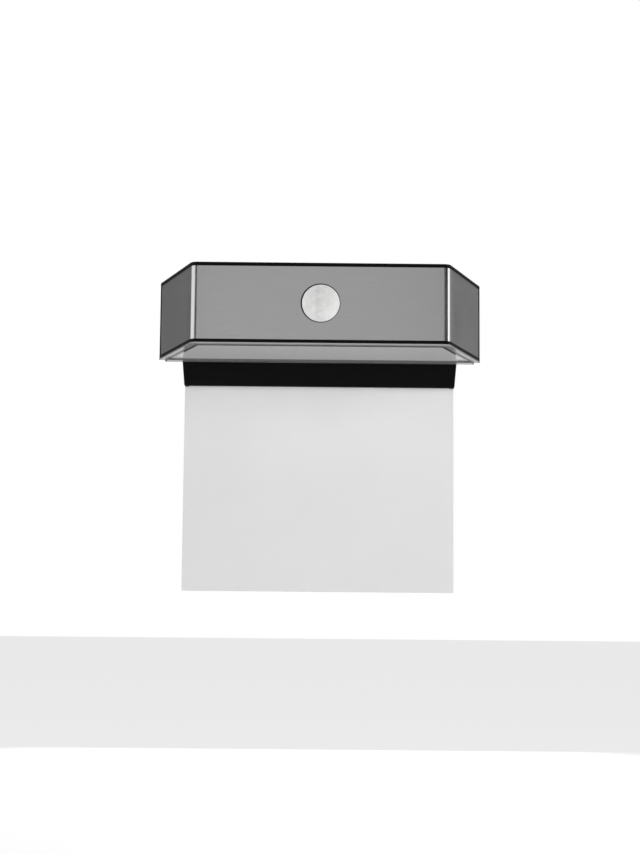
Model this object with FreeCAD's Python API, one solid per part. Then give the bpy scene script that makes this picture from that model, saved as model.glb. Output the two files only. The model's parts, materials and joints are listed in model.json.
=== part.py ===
"""Solar wall light for a fence or house wall, with a motion sensor and an opal number panel.

The light is a trapezoid head, wide at the wall and narrow in front, wrapped by one folded band of
brushed steel. A solar module closes the head's top and an opal diffuser closes its underside. A
shallow rear box stands the head off the wall, its lower front edge is the black bar under the head,
and the number panel hangs from that bar. The light lifts off a folded wall bracket.

Frame: millimetres, +X to the right seen from the front, +Y into the wall, +Z up. The origin is on
the wall, behind the middle of the motion sensor, halfway between the bracket's two screw holes.
"""

import FreeCAD
import Part
import math
import os

V = FreeCAD.Vector

# ---------------------------------------------------------------- driving dimensions, mm
# head, a trapezoid seen from above
head_rear_width = 200.0
head_front_width = 150.8
head_depth = 66.0
head_height = 47.4
rim_height = 1.8            # black edge above and below the steel band
rear_flange = 1.0           # black edge behind the ends of the steel band
rear_corner_radius = 1.2
edge_bevel = 0.2            # bevel on the visible edges of the mouldings and the panel

# steel band
band_thickness = 0.8
band_setback = 0.3          # face of the band behind the black edges
bend_radius = 4.5           # outside of the two folds
band_fit = 0.2              # band to housing wall
band_play = 0.1             # band to the rims above and below it
window_radius = 11.6

# housing
wall = 2.4
deck_thickness = 1.8
deck_drop = 14.2            # top of the deck below mid-height
lip_thickness = 2.0         # lip round the light opening
lip_width = 1.4
shelf_depth = 12.0          # closed strip behind the light opening
boss_radius = 3.4
boss_length = 6.5
pilot_radius = 1.45
fit = 0.25                  # plugs and plates in their openings
touch = 0.1                 # parts that seat on each other

# solar frame and module
frame_lip = 5.2             # width of the black border round the solar glass
frame_floor = 1.6
glass_thickness = 1.6
glass_recess = 0.3
backing_thickness = 1.0
cell_thickness = 0.3
cell_columns = 12
cell_gap = 0.8
cell_border = 3.0
pillar_radius = 4.2
pillar_inset = 8.3          # pillar axis from the head's outline
pillar_height = 18.2        # deck to the top of the pillar
pillar_roof = 3.2           # material over the counterbore
lead_hole_radius = 2.6
counterbore_radius = 2.9

# seals
seal_width = 1.3
seal_height = 0.8
groove_inset = 1.5
groove_depth = 0.9

# diffuser and trim
diffuser_thickness = 0.85   # its edge shows under the lower rim
diffuser_setback = 0.2
plug_height = 1.0
plug_wall = 1.2
hook_length = 9.0
hook_thickness = 1.0
hook_catch = 0.5            # how far the hooks' noses reach over the lip
hook_nose = 1.0
hook_pitch = 46.0
trim_thickness = 0.4
trim_inset = 3.7
trim_width = 1.9
trim_rear_width = 7.5
trim_rear_thickness = 1.05  # meets the top of the bar

# light engine
reflector_wall = 1.2
reflector_inset = 4.6       # foot of the reflector from the side of the light opening
reflector_splay = 2.6       # how far its sides lean in
board_thickness = 1.6
led_board_end = 4.5         # screw to the end of the diode board
led_board_width = 20.0
led_columns = 6
led_rows = 2
led_pitch_x = 18.0
led_pitch_y = 9.0
led_length = 3.5
led_width = 2.8
led_height = 0.8
led_clearance = 0.6
light_screw_spacing = 103.0
light_boss_height = 3.4

# motion sensor
lens_radius = 10.8
lens_bulge = 2.6            # dome in front of the band
lens_wall = 0.9
facet_count = 6
facet_ring = 6.6
facet_radius = 9.0
facet_rise = 0.35
lens_run = 0.25             # lens to the hole in the housing
lens_flange_radius = 13.2
lens_flange = 1.2
lens_seal_thickness = 0.6
collar_wall = 1.8
retainer_length = 3.0
retainer_wall = 2.6
sensor_can_radius = 4.6
sensor_can_height = 3.6
sensor_base_radius = 5.1
sensor_base_height = 0.5
sensor_window = 2.0
sensor_gap = 7.5            # lens flange to the face of the can
sensor_board_width = 46.0
sensor_board_height = 16.6
sensor_screw_spacing = 37.0
pin_radius = 0.25
pin_circle = 2.54
pin_length = 2.2

# battery
battery_radius = 9.2
battery_length = 65.0
battery_cap_radius = 3.0
battery_cap_height = 1.0
battery_edge = 1.0
battery_side_gap = 4.5      # its outer end wall to the inside of the housing's side
battery_rear_gap = 9.0      # battery to the rear wall
battery_lift = 1.6          # deck to the battery
saddle_gap = 0.15
saddle_wall = 2.0
saddle_height = 10.0
saddle_count = 2
saddle_pitch = 40.0
contact_thickness = 0.5
contact_width = 9.0
contact_rise = 6.5          # top of the contacts above the battery's axis
dimple_radius = 2.2
dimple_height = 0.8
strap_width = 12.0
strap_thickness = 1.4
strap_foot = 7.0

# control board
control_length = 58.0
control_width = 31.0
control_side_gap = 5.25     # front outer corner to the inside of the housing's side
control_rear_gap = 9.0
standoff_height = 4.0
standoff_radius = 2.8
board_hole_inset = 3.6
capacitor_radius = 3.2
capacitor_height = 8.0
processor_length = 10.0
processor_width = 6.0
charger_length = 6.0
charger_width = 5.0
amplifier_length = 5.0
amplifier_width = 4.0
chip_height = 1.6
socket_length = 6.0
socket_width = 4.4
socket_height = 5.0

# mode switch on the rear wall
switch_height = 5.0         # its axis above mid-height
switch_travel = 3.0         # each way from the middle
knob_length = 17.0
knob_height = 6.4
knob_skirt = 0.9
grip_length = 7.0
grip_height = 4.6
grip_rise = 1.1
groove_count = 4
groove_width = 0.6
stem_length = 4.0
stem_height = 3.0
stem_reach = 0.9            # stem past the inside of the rear wall
knob_run = 0.35             # knob and slider to what surrounds them
knob_float = 0.3            # skirt to the rear wall
slider_length = 2.4
slider_height = 1.6
slider_reach = 2.2
slider_foot = 1.0
case_length = 13.0
case_height = 5.6
case_depth = 3.6
switch_board_length = 30.0
switch_board_height = 9.0
switch_gap = 1.6            # switch case to the inside of the rear wall
switch_screw_spacing = 23.0

# rear box and bar
box_depth = 12.0            # wall to the head's rear face
box_width = 170.3
box_taper = 1.3             # how far the bar's ends lean in
box_wall = 2.5
box_top = 18.0
box_corner = 5.0
bar_corner = 0.6
wall_gap = 0.3              # rim of the rear box to the wall
bar_height = 14.7
rear_screw_inset = 11.15    # from the side of the rear box
rear_screw_high = 11.0
rear_screw_low = 17.4

# number panel and its clamp
panel_width = 167.0
panel_drop = 143.3          # lower edge of the head to the panel's lower edge
panel_thickness = 3.0
panel_corner = 0.6
shoulder_gap = 0.3          # panel's shoulders below the bar
tongue_height = 18.0
stop_rib = 120.0
tongue_fit = 0.3
clamp_height = 17.0
clamp_thickness = 2.6
clamp_foot = 1.8
clamp_foot_reach = 2.4
clamp_count = 4
clamp_pitch = 46.0
clamp_rise = 8.5            # screw line above the bar's lower edge
clamp_boss_radius = 3.0

# wall bracket
bracket_width = 134.0
bracket_height = 26.0
bracket_thickness = 1.6
bracket_corner = 3.0
bracket_hole_spacing = 60.0
bracket_hole_radius = 2.3
hook_x = 52.0
hook_width = 14.0
hook_drop = 2.0             # seat of the hooks below mid-height
hook_depth = 5.6            # wall to the near face of the upturned lip
hook_rise = 7.0
hook_bend = 0.8             # inside of the hooks' folds
lance_gap = 0.8
lance_top = 9.0
bar_run = 0.3               # hanger bar to the hook round it
hanger_thickness = 2.4
hanger_height = 5.6
hanger_rib = 2.2
hanger_side_gap = 1.0

# screws
screw_head_radius = 2.6
screw_head_height = 1.7
screw_radius = 1.4
screw_hole_radius = 1.6
screw_point = 1.2
recess_width = 0.8
recess_reach = 1.5
recess_depth = 0.9
frame_screw_length = 12.0
rear_screw_length = 8.0
light_screw_length = 5.6
board_screw_length = 5.0
sensor_pilot_depth = 6.0
clamp_screw_length = 6.2
boss_floor = 1.0            # closed end left under each pilot hole

# internal leads
lead_radius = 0.7
lead_pitch = 1.6
lead_bend = 2.5
battery_lead_rise = 3.4     # leads over the battery
sensor_lead_level = 6.0
switch_lead_level = 2.0
sensor_lead_step = 11.0     # sensor socket from the front of the control board
switch_lead_step = 18.4

# ---------------------------------------------------------------- levels and planes
side_run = (head_rear_width - head_front_width) / 2
side_angle = math.atan2(side_run, head_depth)
head_top = head_height / 2
head_bottom = -head_height / 2
head_rear = -box_depth
head_front = head_rear - head_depth
band_top = head_top - rim_height
band_bottom = head_bottom + rim_height
wall_inset = band_setback + band_thickness + band_fit
cavity_inset = wall_inset + wall
opening_inset = cavity_inset + lip_width
cavity_front = head_front + cavity_inset
cavity_rear = head_rear - wall
opening_rear = head_rear - shelf_depth
wall_top = band_top - seal_height
lip_top = head_bottom + lip_thickness
deck_top = -deck_drop
deck_bottom = deck_top - deck_thickness
glass_top = head_top - glass_recess
glass_bottom = glass_top - glass_thickness
cells_bottom = glass_bottom - cell_thickness
frame_seat = cells_bottom - backing_thickness
frame_bottom = frame_seat - frame_floor
pillar_top = deck_top + pillar_height
diffuser_bottom = head_bottom - diffuser_thickness
trim_bottom = diffuser_bottom - trim_thickness
bar_top = diffuser_bottom - trim_rear_thickness
plug_top = head_bottom + plug_height
light_y = (head_front + opening_inset + opening_rear) / 2
led_board_length = light_screw_spacing + 2 * led_board_end
led_board_bottom = deck_bottom - board_thickness
reflector_top = led_board_bottom - touch
lens_seal_back = cavity_front + lens_seal_thickness
lens_flange_back = lens_seal_back + lens_flange
dome_radius = (lens_radius ** 2 + lens_bulge ** 2) / (2 * lens_bulge)
retainer_back = lens_flange_back + retainer_length
sensor_face = lens_flange_back + sensor_gap
can_back = sensor_face + sensor_can_height
sensor_board_front = can_back + sensor_base_height
sensor_board_back = sensor_board_front + board_thickness
battery_y = cavity_rear - battery_rear_gap - battery_radius
battery_z = deck_top + battery_lift + battery_radius
contact_space = dimple_height + contact_thickness + touch
battery_side = (head_front_width / 2 + side_run * (battery_y - battery_radius - head_front) / head_depth
                - cavity_inset / math.cos(side_angle))
battery_offset = battery_side - battery_side_gap - saddle_wall - contact_space - battery_length
battery_middle = -battery_offset - battery_length / 2
battery_lead_level = battery_z + battery_radius + battery_lead_rise
contact_top = battery_z + contact_rise
control_rear = cavity_rear - control_rear_gap
control_side = (head_front_width / 2 + side_run * (control_rear - control_width - head_front) / head_depth
                - cavity_inset / math.cos(side_angle))
control_offset = control_side - control_side_gap - control_length
control_bottom = deck_top + standoff_height
control_top = control_bottom + board_thickness
socket_top = control_top + socket_height
sensor_lead_y = control_rear - control_width + sensor_lead_step
switch_lead_y = control_rear - control_width + switch_lead_step
case_back = cavity_rear - switch_gap
switch_board_back = case_back - case_depth
switch_board_front = switch_board_back - board_thickness
bar_back = head_rear + box_wall
rear_screw_x = box_width / 2 - rear_screw_inset
bar_bottom = bar_top - bar_height
panel_front = bar_back + touch
panel_back = panel_front + panel_thickness
panel_bottom = head_bottom - panel_drop
panel_top = bar_bottom + tongue_height
clamp_front = panel_back + touch
clamp_back = clamp_front + clamp_thickness
clamp_line = bar_bottom + clamp_rise
hook_seat = -hook_drop
hanger_bottom = hook_seat + bar_run
hanger_front = -hook_depth + bar_run
hanger_back = hanger_front + hanger_thickness


# ---------------------------------------------------------------- helpers
def loop(corners, radii, level, plane):
    """Closed wire through the corners, each rounded by an arc of its own radius."""
    lift = {"xy": lambda p: V(p.x, p.y, level),
            "xz": lambda p: V(p.x, level, p.y),
            "yz": lambda p: V(level, p.x, p.y)}[plane]
    points = [V(x, y, 0) for x, y in corners]
    starts, edges = [], []
    for i, here in enumerate(points):
        back = points[i - 1] - here
        ahead = points[(i + 1) % len(points)] - here
        back.normalize()
        ahead.normalize()
        half = back.getAngle(ahead) / 2
        run = radii[i] / math.tan(half)
        middle = back + ahead
        middle.normalize()
        middle = here + middle * (radii[i] / math.sin(half) - radii[i])
        starts.append((here + back * run, middle, here + ahead * run))
    for i, (start, middle, end) in enumerate(starts):
        if radii[i] > 0:
            edges.append(Part.Arc(lift(start), lift(middle), lift(end)).toShape())
        follow = starts[(i + 1) % len(starts)][0]
        if (follow - end).Length > 1e-6:
            edges.append(Part.LineSegment(lift(end), lift(follow)).toShape())
    return Part.Wire(edges)


def prism(corners, radii, start, end, plane="xy"):
    """Solid with that outline between two levels along the plane's normal."""
    normal = {"xy": V(0, 0, 1), "xz": V(0, 1, 0), "yz": V(1, 0, 0)}[plane]
    return Part.Face(loop(corners, radii, start, plane)).extrude(normal * (end - start))


def rectangle(x_low, x_high, y_low, y_high):
    return [(x_low, y_low), (x_high, y_low), (x_high, y_high), (x_low, y_high)]


def block(x_low, x_high, y_low, y_high, z_low, z_high):
    return Part.makeBox(x_high - x_low, y_high - y_low, z_high - z_low, V(x_low, y_low, z_low))


def rod_z(radius, x, y, z_low, z_high):
    return Part.makeCylinder(radius, z_high - z_low, V(x, y, z_low), V(0, 0, 1))


def rod_y(radius, x, z, y_low, y_high):
    return Part.makeCylinder(radius, y_high - y_low, V(x, y_low, z), V(0, 1, 0))


def rod_x(radius, y, z, x_low, x_high):
    return Part.makeCylinder(radius, x_high - x_low, V(x_low, y, z), V(1, 0, 0))


def joined(shapes):
    """One clean solid from shapes that overlap."""
    return shapes[0].fuse(shapes[1:]).removeSplitter()


def group(shapes):
    return Part.makeCompound(shapes)


def softened(shape, size, axis, level):
    """The shape with a small bevel on every edge that lies in the plane at that level."""
    edges = [e for e in shape.Edges if all(abs(getattr(v.Point, axis) - level) < 1e-6 for v in e.Vertexes)]
    return shape.makeChamfer(size, edges)


def placed(shape, at, axis):
    """Copy of a shape drawn along +Z from the origin, moved to a point and turned to an axis."""
    copy = shape.copy()
    copy.Placement = FreeCAD.Placement(at, FreeCAD.Rotation(V(0, 0, 1), axis))
    return copy


def half_width(y):
    """Half the head's width at a depth."""
    return head_front_width / 2 + side_run * (y - head_front) / head_depth


def head_plan(inset, front, rear):
    """Corners of the head's outline between two depths, its sides drawn in by inset."""
    slant = inset / math.cos(side_angle)
    x_front, x_rear = half_width(front) - slant, half_width(rear) - slant
    return [(-x_rear, rear), (-x_front, front), (x_front, front), (x_rear, rear)]


def head_slab(inset, z_low, z_high, rear=None, rear_radius=0.0):
    """Slab with the head's outline, its front corners following the band's folds."""
    soft = max(band_setback + bend_radius - inset, 0.5)
    rear = head_rear - inset if rear is None else rear
    corners = head_plan(inset, head_front + inset, rear)
    return prism(corners, [rear_radius, soft, soft, rear_radius], z_low, z_high)


def both(make):
    return [make(-1), make(1)]


def row(count, pitch):
    """Positions of a centred row."""
    return [(i - (count - 1) / 2) * pitch for i in range(count)]


def screw(length, at, axis):
    """Pan-head screw whose head rests on a point, with its shank running along an axis."""
    crown, low = screw_head_radius * 0.7, screw_head_height * 0.45
    profile = [(0, -screw_head_height), (crown, -screw_head_height), (screw_head_radius, -low),
               (screw_head_radius, 0), (screw_radius, 0), (screw_radius, length - screw_point),
               (screw_radius * 0.3, length), (0, length)]
    points = [V(r, 0, h) for r, h in profile]
    body = Part.Face(Part.makePolygon(points + points[:1])).revolve(V(0, 0, 0), V(0, 0, 1), 360)
    half, top = recess_width / 2, -screw_head_height
    slots = [block(-recess_reach, recess_reach, -half, half, top, top + recess_depth),
             block(-half, half, -recess_reach, recess_reach, top, top + recess_depth)]
    return placed(body.cut(slots), at, axis)


def lead_pair(points, across):
    """Two insulated wires side by side along straight runs joined by arcs."""
    return group([lead([p + across * (side * lead_pitch / 2) for p in points]) for side in (-1, 1)])


def lead(points):
    path, last = [], points[0]
    for i in range(1, len(points) - 1):
        here = points[i]
        back, ahead = points[i - 1] - here, points[i + 1] - here
        back.normalize()
        ahead.normalize()
        half = back.getAngle(ahead) / 2
        run = lead_bend / math.tan(half)
        middle = back + ahead
        middle.normalize()
        middle = here + middle * (lead_bend / math.sin(half) - lead_bend)
        path.append(Part.LineSegment(last, here + back * run).toShape())
        path.append(Part.Arc(here + back * run, middle, here + ahead * run).toShape())
        last = here + ahead * run
    path.append(Part.LineSegment(last, points[-1]).toShape())
    ring = Part.Wire([Part.makeCircle(lead_radius, points[0], points[1] - points[0])])
    return Part.Wire(path).makePipeShell([ring], True, False)


# ---------------------------------------------------------------- places shared by several parts
def pillar_places():
    slant = pillar_inset / math.cos(side_angle)
    depths = (head_front + pillar_inset, head_rear - pillar_inset)
    return [(side * (half_width(y) - slant), y) for side in (-1, 1) for y in depths]


def rear_screw_places():
    return [(side * rear_screw_x, z) for side in (-1, 1) for z in (rear_screw_high, -rear_screw_low)]


def control_screw_places():
    xs = (control_offset + board_hole_inset, control_offset + control_length - board_hole_inset)
    ys = (control_rear - control_width + board_hole_inset, control_rear - board_hole_inset)
    return [(x, y) for x in xs for y in ys]


def light_screw_places():
    return both(lambda side: (side * light_screw_spacing / 2, light_y))


def sensor_screw_places():
    return both(lambda side: (side * sensor_screw_spacing / 2, 0.0))


def switch_screw_places():
    return both(lambda side: (side * switch_screw_spacing / 2, switch_height))


def clamp_screw_places():
    return [(x, clamp_line) for x in row(clamp_count, clamp_pitch)]


def led_places():
    return [(x, light_y + y) for x in row(led_columns, led_pitch_x) for y in row(led_rows, led_pitch_y)]


def solar_lead_place():
    return (control_offset + control_length / 2, control_rear - control_width / 2)


def diode_lead_place():
    return (control_offset + control_length * 0.36, light_y)


# ---------------------------------------------------------------- head
def steel_band():
    """One strip of sheet folded round the front and both sides, with the sensor's window."""
    low, high = band_bottom + band_play, band_top - band_play
    rear = head_rear - rear_flange - band_play
    outer = head_slab(band_setback, low, high, rear=rear)
    inner = head_slab(band_setback + band_thickness, low, high, rear=rear + band_thickness)
    window = rod_y(window_radius, 0, 0, head_front, cavity_front)
    return outer.cut([inner, window])


def housing():
    """Black moulding inside the band: rims, walls, deck, sensor collar, battery saddles and bosses."""
    rim = head_slab(0, head_bottom, band_bottom, rear_radius=rear_corner_radius)
    tall = head_slab(0, head_bottom, band_top - touch, rear_radius=rear_corner_radius)
    flange = tall.common(block(-head_rear_width, head_rear_width, head_rear - rear_flange, head_rear,
                               head_bottom, band_top))
    walls = head_slab(wall_inset, head_bottom, wall_top, rear=head_rear - rear_flange / 2)
    upper = head_slab(cavity_inset, deck_top, head_top, rear=cavity_rear)
    lower = head_slab(cavity_inset, lip_top, deck_bottom, rear=cavity_rear)
    opening = head_slab(opening_inset, head_bottom, lip_top, rear=opening_rear)
    shell = joined([walls, rim, flange]).cut([upper, lower, opening])
    solid = joined([shell] + housing_bosses() + battery_saddles())
    side = groove_inset - touch
    groove = seal_ring(side, seal_width + 2 * touch, head_bottom, head_bottom + groove_depth, head_rear - side)
    return solid.cut(housing_holes() + [groove])


def housing_bosses():
    over = touch
    collar = lens_flange_radius + fit + collar_wall
    shapes = [rod_y(collar, 0, 0, cavity_front - over, retainer_back + over)]
    shapes += [rod_z(pillar_radius, x, y, deck_bottom + over, pillar_top) for x, y in pillar_places()]
    shapes += [rod_y(boss_radius, x, z, cavity_rear - boss_length, cavity_rear + over)
               for x, z in rear_screw_places()]
    shapes += [rod_z(boss_radius, x, y, deck_bottom + over, deck_top + light_boss_height)
               for x, y in light_screw_places()]
    shapes += [rod_z(standoff_radius, x, y, deck_bottom + over, control_bottom)
               for x, y in control_screw_places()]
    shapes += [rod_y(boss_radius, x, z, cavity_front - over, sensor_board_front)
               for x, z in sensor_screw_places()]
    shapes += [rod_y(standoff_radius, x, z, switch_board_back, cavity_rear + over)
               for x, z in switch_screw_places()]
    shapes += [rod_z(boss_radius, x, y, deck_bottom + over, battery_z - touch)
               for x, y in strap_screw_places()]
    return shapes


def battery_saddles():
    """Ribs on the deck that the battery lies in, and the two end walls behind its contacts."""
    top = deck_top + saddle_height
    y_low, y_high = battery_y - battery_radius, battery_y + battery_radius
    ends = both(lambda side: battery_end(side) + side * contact_space)
    walls = [block(min(x, x + s * saddle_wall), max(x, x + s * saddle_wall), y_low, y_high,
                   deck_bottom + touch, top) for x, s in zip(ends, (-1, 1))]
    ribs = [block(battery_middle + x - saddle_wall / 2, battery_middle + x + saddle_wall / 2,
                  y_low, y_high, deck_bottom + touch, top) for x in row(saddle_count, saddle_pitch)]
    hollow = rod_x(battery_radius + saddle_gap, battery_y, battery_z,
                   battery_end(-1) - touch, battery_end(1) + touch)
    return walls + [rib.cut(hollow) for rib in ribs]


def housing_holes():
    """Window, bores and pilot holes, drilled once everything is joined."""
    bore = lens_flange_radius + fit
    past = wall + 1
    cuts = [rod_y(lens_radius + lens_run, 0, 0, head_front, cavity_front + past),
            rod_y(bore, 0, 0, cavity_front, retainer_back + past)]
    for x, y in pillar_places():
        cuts.append(rod_z(counterbore_radius, x, y, head_bottom - past, pillar_top - pillar_roof))
        cuts.append(rod_z(screw_hole_radius, x, y, head_bottom, pillar_top + past))
    cuts += [rod_y(pilot_radius, x, z, cavity_rear - boss_length + boss_floor, head_rear + past)
             for x, z in rear_screw_places()]
    cuts += [rod_z(pilot_radius, x, y, deck_bottom - past, deck_top + light_boss_height - boss_floor)
             for x, y in light_screw_places()]
    cuts += [rod_z(pilot_radius, x, y, deck_bottom + boss_floor, control_bottom + past)
             for x, y in control_screw_places()]
    cuts += [rod_y(pilot_radius, x, z, sensor_board_front - sensor_pilot_depth, sensor_board_front + past)
             for x, z in sensor_screw_places()]
    cuts += [rod_y(pilot_radius, x, z, switch_board_front, cavity_rear - boss_floor)
             for x, z in switch_screw_places()]
    cuts += [rod_z(pilot_radius, x, y, deck_top + boss_floor, battery_z + past)
             for x, y in strap_screw_places()]
    slot = switch_travel + stem_length / 2 + knob_run
    cuts.append(block(-slot, slot, cavity_rear - 1, head_rear + 1,
                      switch_height - stem_height / 2 - knob_run, switch_height + stem_height / 2 + knob_run))
    cuts.append(rod_z(lead_hole_radius, *diode_lead_place(), deck_bottom - past, deck_top + past))
    return cuts


def seal_ring(inset, width, z_low, z_high, rear):
    """Flat ring that follows the head's outline, its outer edge at that depth behind."""
    outer = head_slab(inset, z_low, z_high, rear=rear)
    return outer.cut(head_slab(inset + width, z_low, z_high, rear=rear - width))


def top_seal():
    side = wall_inset + (wall - seal_width) / 2
    return seal_ring(side, seal_width, wall_top, band_top, cavity_rear + seal_width)


def bottom_seal():
    return seal_ring(groove_inset, seal_width, head_bottom, head_bottom + groove_depth,
                     head_rear - groove_inset)


# ---------------------------------------------------------------- solar module
def solar_frame():
    """Black lid with the rim over the band, a pocket for the module and four screw bosses."""
    rim = softened(head_slab(0, band_top, head_top, rear_radius=rear_corner_radius), edge_bevel, "z", head_top)
    plug = head_slab(cavity_inset + fit, frame_bottom, band_top, rear=cavity_rear - fit)
    bosses = [rod_z(boss_radius, x, y, pillar_top + touch, frame_seat - touch) for x, y in pillar_places()]
    pocket = head_slab(frame_lip, frame_seat, head_top)
    pilots = [rod_z(pilot_radius, x, y, pillar_top, frame_bottom) for x, y in pillar_places()]
    leads = rod_z(lead_hole_radius, *solar_lead_place(), frame_bottom, head_top)
    return joined([rim, plug] + bosses).cut([pocket, leads] + pilots)


def solar_glass():
    return head_slab(frame_lip + fit, glass_bottom, glass_top)


def solar_backing():
    sheet = head_slab(frame_lip + fit, frame_seat, cells_bottom)
    return sheet.cut(rod_z(lead_hole_radius / 2, *solar_lead_place(), frame_seat, cells_bottom))


def solar_cells():
    """Equal silicon strips side by side, as wide together as the narrow front of the glass."""
    front = head_front + frame_lip + fit + cell_border
    rear = head_rear - frame_lip - fit - cell_border
    span = 2 * (half_width(front) - (frame_lip + fit) / math.cos(side_angle) - cell_border)
    width = (span + cell_gap) / cell_columns - cell_gap
    return group([block(x - width / 2, x + width / 2, front, rear, cells_bottom, glass_bottom)
                  for x in row(cell_columns, width + cell_gap)])


# ---------------------------------------------------------------- underside
def diffuser():
    """Opal plate with a low ring that plugs into the light opening and hooks that snap over its lip."""
    plate = head_slab(diffuser_setback, diffuser_bottom, head_bottom)
    ring = head_slab(opening_inset + fit, head_bottom, plug_top, rear=opening_rear - fit)
    hollow = head_slab(opening_inset + fit + plug_wall, head_bottom, plug_top,
                       rear=opening_rear - fit - plug_wall)
    hooks = [snap_hook(x, head_front + opening_inset + fit, 1) for x in row(3, hook_pitch)]
    hooks += [snap_hook(x, opening_rear - fit, -1) for x in row(3, hook_pitch)]
    return joined([plate, ring.cut(hollow)] + hooks)


def snap_hook(x, face, inward):
    """Upright tongue whose nose reaches over the lip of the light opening."""
    under = lip_top + touch
    nose = face - inward * (fit + hook_catch)
    stem = face + inward * hook_thickness
    corners = [(face, head_bottom - touch), (stem, head_bottom - touch), (stem, under + hook_nose),
               (face, under + hook_nose), (nose, under + hook_nose / 3), (nose, under), (face, under)]
    return prism(corners, [0] * len(corners), x - hook_length / 2, x + hook_length / 2, "yz")


def diffuser_trim():
    """Thin black frame under the diffuser, wide and thick at the rear where it meets the bar."""
    outer = head_slab(trim_inset, trim_bottom, diffuser_bottom, rear=head_rear - touch)
    inner = head_slab(trim_inset + trim_width, trim_bottom, diffuser_bottom, rear=head_rear - trim_rear_width)
    rear = head_slab(trim_inset, bar_top, diffuser_bottom, rear=head_rear - touch)
    strip = rear.common(block(-head_rear_width, head_rear_width, head_rear - trim_rear_width, head_rear,
                              bar_top, diffuser_bottom))
    return joined([outer.cut(inner), strip])


def reflector():
    """White tray round the diodes, its sides lean in towards the diode board."""
    def tray(extra, z_low, z_high):
        foot = opening_inset + reflector_inset + extra
        inner = foot + reflector_splay
        low = loop(head_plan(foot, head_front + foot, opening_rear - reflector_inset - extra),
                   [2] * 4, z_low, "xy")
        high = loop(head_plan(inner, head_front + inner, opening_rear - reflector_inset - extra
                              - reflector_splay), [2] * 4, z_high, "xy")
        return Part.makeLoft([low, high], True, True)
    body = tray(0, head_bottom + touch, reflector_top)
    body = body.cut(tray(reflector_wall, head_bottom + touch, reflector_top - reflector_wall))
    half_x, half_y = led_length / 2 + led_clearance, led_width / 2 + led_clearance
    windows = [block(x - half_x, x + half_x, y - half_y, y + half_y, head_bottom, deck_bottom)
               for x, y in led_places()]
    holes = [rod_z(screw_hole_radius, x, y, head_bottom, deck_bottom) for x, y in light_screw_places()]
    return body.cut(windows + holes)


def led_board():
    board = block(-led_board_length / 2, led_board_length / 2, light_y - led_board_width / 2,
                  light_y + led_board_width / 2, led_board_bottom, deck_bottom)
    return board.cut([rod_z(screw_hole_radius, x, y, led_board_bottom, deck_bottom)
                      for x, y in light_screw_places()])


def diodes():
    return group([block(x - led_length / 2, x + led_length / 2, y - led_width / 2, y + led_width / 2,
                        led_board_bottom - led_height, led_board_bottom) for x, y in led_places()])


# ---------------------------------------------------------------- motion sensor
def lens_bulb(shrink):
    """Solid under the lens dome and its skirt, its surface drawn in by shrink."""
    tip = head_front + band_setback - lens_bulge
    radius, side, back = dome_radius - shrink, lens_radius - shrink, lens_flange_back
    centre = tip + dome_radius
    edge = centre - math.sqrt(radius ** 2 - side ** 2)
    half = math.asin(side / radius) / 2
    middle = V(radius * math.sin(half), centre - radius * math.cos(half), 0)
    top, rim = V(0, tip + shrink, 0), V(side, edge, 0)
    path = [Part.Arc(top, middle, rim).toShape(), Part.LineSegment(rim, V(side, back, 0)).toShape(),
            Part.LineSegment(V(side, back, 0), V(0, back, 0)).toShape(),
            Part.LineSegment(V(0, back, 0), top).toShape()]
    return Part.Face(Part.Wire(path)).revolve(V(0, 0, 0), V(0, 1, 0), 360)


def lens_facets():
    """One shallow lens in the middle of the dome and a ring of them round it."""
    face = head_front + band_setback
    centre, out = face - lens_bulge + dome_radius, dome_radius + facet_rise - facet_radius
    tilt = math.asin(facet_ring / dome_radius)
    spots = [V(0, centre - out, 0)]
    for i in range(facet_count):
        turn = 2 * math.pi * (i + 0.5) / facet_count
        spots.append(V(math.sin(tilt) * math.cos(turn) * out, centre - math.cos(tilt) * out,
                       math.sin(tilt) * math.sin(turn) * out))
    front = rod_y(lens_radius, 0, 0, face - lens_bulge - lens_wall, face + facet_rise / 2)
    return [Part.makeSphere(facet_radius, spot).common(front) for spot in spots]


def sensor_lens():
    """White faceted dome on a plain skirt, with a flange behind the housing wall."""
    flange = rod_y(lens_flange_radius, 0, 0, lens_seal_back, lens_flange_back)
    return joined([lens_bulb(0), flange] + lens_facets()).cut(lens_bulb(lens_wall))


def lens_seal():
    ring = rod_y(lens_flange_radius, 0, 0, cavity_front, lens_seal_back)
    return ring.cut(rod_y(lens_radius + lens_run, 0, 0, cavity_front, lens_seal_back))


def lens_retainer():
    """Ring pressed into the collar behind the lens flange."""
    outer = lens_flange_radius + fit - touch / 2
    ring = rod_y(outer, 0, 0, lens_flange_back, retainer_back)
    return ring.cut(rod_y(outer - retainer_wall, 0, 0, lens_flange_back, retainer_back))


def pin_places():
    spots = [math.radians(a) for a in (0, 90, 180)]
    return [(pin_circle * math.cos(a), pin_circle * math.sin(a)) for a in spots]


def motion_sensor():
    """Round metal can with a square window, on its base with three pins."""
    can = rod_y(sensor_can_radius, 0, 0, sensor_face, can_back)
    base = rod_y(sensor_base_radius, 0, 0, can_back - touch, sensor_board_front)
    pins = [rod_y(pin_radius, x, z, sensor_board_front - touch, sensor_board_front + pin_length)
            for x, z in pin_places()]
    window = block(-sensor_window, sensor_window, sensor_face, sensor_face + sensor_base_height,
                   -sensor_window, sensor_window)
    return joined([can, base] + pins).cut(window)


def sensor_board():
    board = block(-sensor_board_width / 2, sensor_board_width / 2, sensor_board_front, sensor_board_back,
                  -sensor_board_height / 2, sensor_board_height / 2)
    holes = [rod_y(screw_hole_radius, x, z, sensor_board_front, sensor_board_back)
             for x, z in sensor_screw_places()]
    holes += [rod_y(pin_radius + touch, x, z, sensor_board_front, sensor_board_back)
              for x, z in pin_places()]
    return board.cut(holes)


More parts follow.
